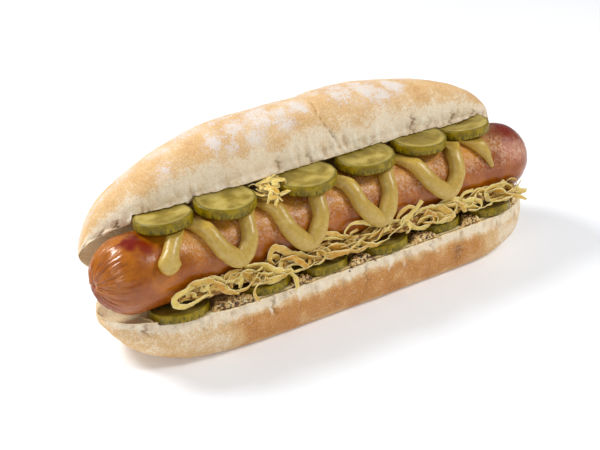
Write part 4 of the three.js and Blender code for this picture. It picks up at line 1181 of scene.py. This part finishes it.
def kraut_core():
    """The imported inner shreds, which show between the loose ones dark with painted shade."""
    x = np.linspace(KRAUT_START, KRAUT_END, 320)
    ends = rounded_ends(x, KRAUT_START, KRAUT_END, least=0.01)
    full = 0.2 + 0.3 * np.sin(0.31 * x) + 0.2 * np.sin(0.83 * x + 1)
    top = 5.9 + np.sin(0.19 * x + 2) + 0.8 * np.sin(0.47 * x) - ends
    foot = 8.6 + ends + 0.8 * np.sin(0.27 * x)
    outside = []
    for way in np.linspace(0, 1, 14):
        lift = full * (0.2 + 0.8 * math.sin(math.pi * min(way * 1.3, 0.85)))
        outside.append(on_slope(x, top + (foot - top) * way, lift))
    inner = SAUSAGE_RADIUS + 0.4
    inside = []
    for angle in np.radians([-46, -36, -26, -19]):
        inside.append(np.stack([x, np.full(len(x), -inner * math.cos(angle)),
                                np.full(len(x), SAUSAGE_HEIGHT + inner * math.sin(angle))], axis=-1))
    points, triangles = loft_between(np.stack([*outside, *inside], axis=1))
    normals = point_normals(points, triangles)
    stretched = points * (0.35, 1, 1)
    points = points + normals * (0.45 * noise(stretched, 1.6, 51) + 0.2 * noise(stretched, 0.8, 52))[:, None]
    points[:, 2] = np.maximum(points[:, 2], KRAUT_FLOOR)
    return points, triangles


def placed_shreds(heap):
    """The shreds that can be told apart in the heap."""
    for index, (width, twist, places) in enumerate(KRAUT_SHREDS):
        points = [on_slope(*place) for place in places]
        hue = 0.9 if index in GOLDEN_SHREDS else (index * 0.37) % 0.75
        lay_shred(heap, points, width * 1.15, STRIP_THICKNESS * 0.5, twist, 0.6, index + 60, hue)


def loose_shreds(heap):
    """Shreds between the others, two of three curled and the rest wandering up and down the heap."""
    draws = Draws(71)
    for index in range(LOOSE_SHRED_COUNT):
        x = KRAUT_START + (KRAUT_END - KRAUT_START) * (index + draws.between(0, 1)) / LOOSE_SHRED_COUNT
        down = draws.between(3.5, 9.5)
        lift = draws.between(0.4, 1)
        points = []
        if index % 3:
            wide, tall = draws.between(2, 6), draws.between(1.4, 3.4)
            stand = draws.between(0, 1.2)
            begin = draws.between(0, 2 * math.pi)
            swing = draws.between(0.7, 1.4) * math.pi
            for step in range(6):
                turn = begin + swing * step / 5
                below = min(down + tall * math.cos(stand) * math.sin(turn), 11.2)
                raised = lift + tall * math.sin(stand) * (1 + math.sin(turn)) * 0.55
                points.append(on_slope(x + wide * math.cos(turn), below, raised))
        else:
            heading = 1 if draws.between(0, 1) < 0.7 else -1
            for _ in range(int(draws.between(4, 6))):
                points.append(on_slope(x, down, lift))
                x = clamp(x + heading * draws.between(2.5, 6), KRAUT_START - 2, KRAUT_END + 3)
                down = clamp(down + draws.between(-4.5, 4.5), 1.6, 11.4)
                lift = clamp(lift + draws.between(-0.5, 0.8), 0.4, 1.9)
        width = draws.between(1, 2.4) if index % 2 else draws.between(2.4, 4.4)
        twist = draws.between(-1.4, 1.4)
        lay_shred(heap, points, width, draws.between(0.3, 0.45), twist, 0.7, index + 130, draws.between(0, 1))


def tuft_shreds(heap):
    """The shreds that stand up between two upper slices, with wandering ones behind them up to the roll."""
    base = np.array(TUFT_PLACE)
    for index, shred in enumerate(TUFT_SHREDS):
        points = [base + offset for offset in np.array(shred)]
        lay_shred(heap, points, TUFT_SHRED_WIDTH, STRIP_THICKNESS * 0.7, 1.2, 0.4, index + 500, 0.2 * index)
    draws = Draws(29)
    for index in range(TUFT_FILL_COUNT):
        back = draws.between(0, 1)
        aside = draws.between(-4, 4) + 3 * back
        raised = 1 + 2.6 * back + draws.between(-0.6, 0.6)
        middle = base + (aside, 10 * back - 4, raised)
        heading = draws.between(0, 2 * math.pi)
        reach = draws.between(1.6, 2.8)
        turning = draws.between(-0.8, 0.8)
        points = []
        for _ in range(5):
            points.append(middle + (0, 0, draws.between(-0.5, 0.7)))
            middle = middle + reach * np.array([math.cos(heading), math.sin(heading), 0])
            heading += turning
            for axis, (low, high) in enumerate(TUFT_FILL_BOUNDS):
                middle[axis] = clamp(middle[axis], base[axis] + low, base[axis] + high)
        width = draws.between(1.1, 2.4)
        twist = draws.between(-1.5, 1.5)
        lay_shred(heap, points, width, 0.4, twist, 0.5, index + 520, draws.between(0, 0.7))


def sauerkraut():
    core, shreds, tuft = Heap(), Heap(), Heap()
    core.add(*kraut_core(), hue=0.6, edge=0)
    placed_shreds(shreds)
    loose_shreds(shreds)
    tuft_shreds(tuft)
    # The core's finish browns it as painted shade between the loose shreds, and the loose ones get a little
    # in their hollows
    packed, loose = kraut_finish("kraut_core", 0.85), kraut_finish("kraut_shreds", 0.12)
    serve(core.piece("sauerkraut_core"), packed, "sauerkraut", "sauerkraut")
    serve(shreds.piece("sauerkraut_shreds"), loose, "sauerkraut", "sauerkraut")
    serve(tuft.piece("sauerkraut_tuft_shreds"), loose, "sauerkraut", "sauerkraut_tuft")


# Grain mustard

def from_slices(x, y):
    """Distance to the rim of the nearest lower slice, negative under one."""
    rims = [np.hypot(x - slice_x, y - slice_y) - radius for slice_x, slice_y, radius, _, _ in LOWER_PICKLES]
    return np.min(rims, axis=0)


def spread_front(x, least):
    """Where the spread ends towards the front, further back at its two ends."""
    roomy = SPREAD_FRONT * rounded_share(x, BOTTOM_REACH, WIDTH_ROUNDING)
    return roomy + 3 * (1 - rounded_ends(x, SPREAD_START, SPREAD_END, least))


def spread_top(x, y):
    """Height of the spread, thin under the slices and thicker between them."""
    free = smooth(0.6, 2.4, from_slices(x, y)) * smooth(2, 8, -y)
    return cut_face_height(x, y) + TOUCH_GAP + SPREAD_THICKNESS + free * 2


def grain_mustard():
    x = np.linspace(SPREAD_START, SPREAD_END, 300)
    front = spread_front(x, least=0.012) + 0.5 * noise_along(x, 3, 61) + 0.3 * noise_along(x, 1.4, 62)
    columns = np.linspace(0, 1, 34) ** 1.4
    y = front[:, None] + (SPREAD_BACK - front[:, None]) * columns
    station = np.broadcast_to(x[:, None], y.shape)
    top = spread_top(station, y)
    ground = cut_face_height(station, y) + TOUCH_GAP
    flat = np.stack([station.ravel(), y.ravel(), np.zeros(y.size)], axis=1)
    rough = (0.45 * noise(flat, 2.4, 63) + 0.3 * noise(flat, 1.1, 64)).reshape(y.shape)
    edge = smooth(0, 0.05, columns) * (1 - smooth(0.95, 1, columns))
    top = ground + (top - ground) * (0.35 + 0.65 * edge) * (1 + 0.7 * rough)
    upper = np.stack([station, y, top], axis=-1)
    under = np.stack([station, y, ground], axis=-1)[:, ::-1]
    points, triangles = loft_between(np.concatenate([upper, under], axis=1))
    piece = make_piece("grain_mustard_cream", points, triangles)
    serve(piece, spread_finish(), "grain_mustard", "grain_mustard")
    mustard_seeds()


def mustard_seeds():
    """Whole seeds half sunk in the cream, where no slice covers it."""
    bpy.ops.mesh.primitive_ico_sphere_add(subdivisions=2, radius=1)
    pattern = bpy.context.object
    shape = np.array([v.co[:] for v in pattern.data.vertices])
    faces = np.array([p.vertices[:] for p in pattern.data.polygons])
    bpy.data.objects.remove(pattern)
    draws = Draws(47)
    heap = Heap()
    placed = 0
    while placed < SEED_COUNT:
        x = draws.between(SPREAD_START + 3, SPREAD_END - 3)
        y = draws.between(SEED_FRONT, SEED_BACK)
        stray = draws.between(0, 1)
        front = float(spread_front(np.float64(x), least=0))
        if from_slices(x, y) < 0.6 or y < front - 0.2 - 0.5 * stray:
            continue
        dark = draws.between(0, 1) < 0.55
        size = draws.between(0.4, 0.56) if dark else draws.between(0.4, 0.7)
        stretch = np.array([draws.between(0.85, 1.15), 1, draws.between(0.75, 0.95)]) * size
        height = float(spread_top(np.float64(x), np.float64(y))) + draws.between(-0.2, 0.35)
        height -= 1.5 * max(0, front + 1.1 - y)
        hue = draws.between(0, 0.5) if dark else draws.between(0.55, 1)
        heap.add(shape * stretch + (x, y, height), faces, hue=hue)
        placed += 1
    piece = heap.piece("mustard_seeds")
    serve(piece, seed_finish(), "grain_mustard", "grain_mustard")


# Stage

ROOM_LIGHT = 0.33
FLOOR_GLOW = 0.13
FLOOR_SIZE = 8
LIT_PLACE = (0, 0.01, 0.03)

# Soft round lamps: name, place, diameter and power
LAMPS = [
    ("key", (-0.4, 0.42, 0.62), 0.3, 5.2), ("left", (-0.74, -0.3, 0.4), 0.3, 0.9),
    ("right", (0.42, -0.38, 0.64), 0.26, 3.2),
]

CAMERA_LENS = 75.12
CAMERA_SENSOR = 36
CAMERA_PLACE = (-0.25578, -0.35729, 0.26993)
CAMERA_AZIMUTH = math.radians(-34.2)
CAMERA_ELEVATION = math.radians(28.6)


def lamp(name, place, size, power):
    light = bpy.data.lights.new(name, "AREA")
    light.shape = "DISK"
    light.size = size
    light.energy = power
    holder = bpy.data.objects.new(name, light)
    bpy.context.collection.objects.link(holder)
    holder.location = place
    holder.rotation_euler = (Vector(LIT_PLACE) - Vector(place)).to_track_quat("-Z", "Y").to_euler()


def stage():
    """A pale floor in a bright room, with a large soft lamp behind on the left and weaker ones beside."""
    bpy.ops.mesh.primitive_plane_add(size=FLOOR_SIZE)
    floor = bpy.context.object
    floor.name = "floor"
    f = Finish("floor")
    grey = f.mix(tone(245, 247, 251), tone(241, 243, 247), f.grain(60, 2, 0.5))
    floor.data.materials.append(f.done(Base_Color=grey, Roughness=0.9, Specular_IOR_Level=0.1,
                                       Emission_Color=(1, 1, 1, 1), Emission_Strength=FLOOR_GLOW))
    world = bpy.data.worlds.new("room")
    world.use_nodes = True
    background = world.node_tree.nodes["Background"]
    background.inputs["Color"].default_value = (1, 1, 1, 1)
    background.inputs["Strength"].default_value = ROOM_LIGHT
    bpy.context.scene.world = world
    for name, place, size, power in LAMPS:
        lamp(name, place, size, power)


def camera():
    data = bpy.data.cameras.new("camera")
    data.lens = CAMERA_LENS
    data.sensor_width = CAMERA_SENSOR
    data.clip_start = 0.01
    data.clip_end = 20
    holder = bpy.data.objects.new("camera", data)
    bpy.context.collection.objects.link(holder)
    level = math.cos(CAMERA_ELEVATION)
    back = Vector((math.sin(CAMERA_AZIMUTH) * level, -math.cos(CAMERA_AZIMUTH) * level,
                   math.sin(CAMERA_ELEVATION)))
    holder.rotation_mode = "QUATERNION"
    holder.rotation_quaternion = (-back).to_track_quat("-Z", "Y")
    holder.location = CAMERA_PLACE
    bpy.context.scene.camera = holder
    bpy.context.scene.view_settings.view_transform = "Standard"


roll = joined(top_half(), bottom_half())
serve(roll, bread_finish(), "crust", "roll")
sausage()
mustard()
pickles()
sauerkraut()
grain_mustard()
stage()
camera()
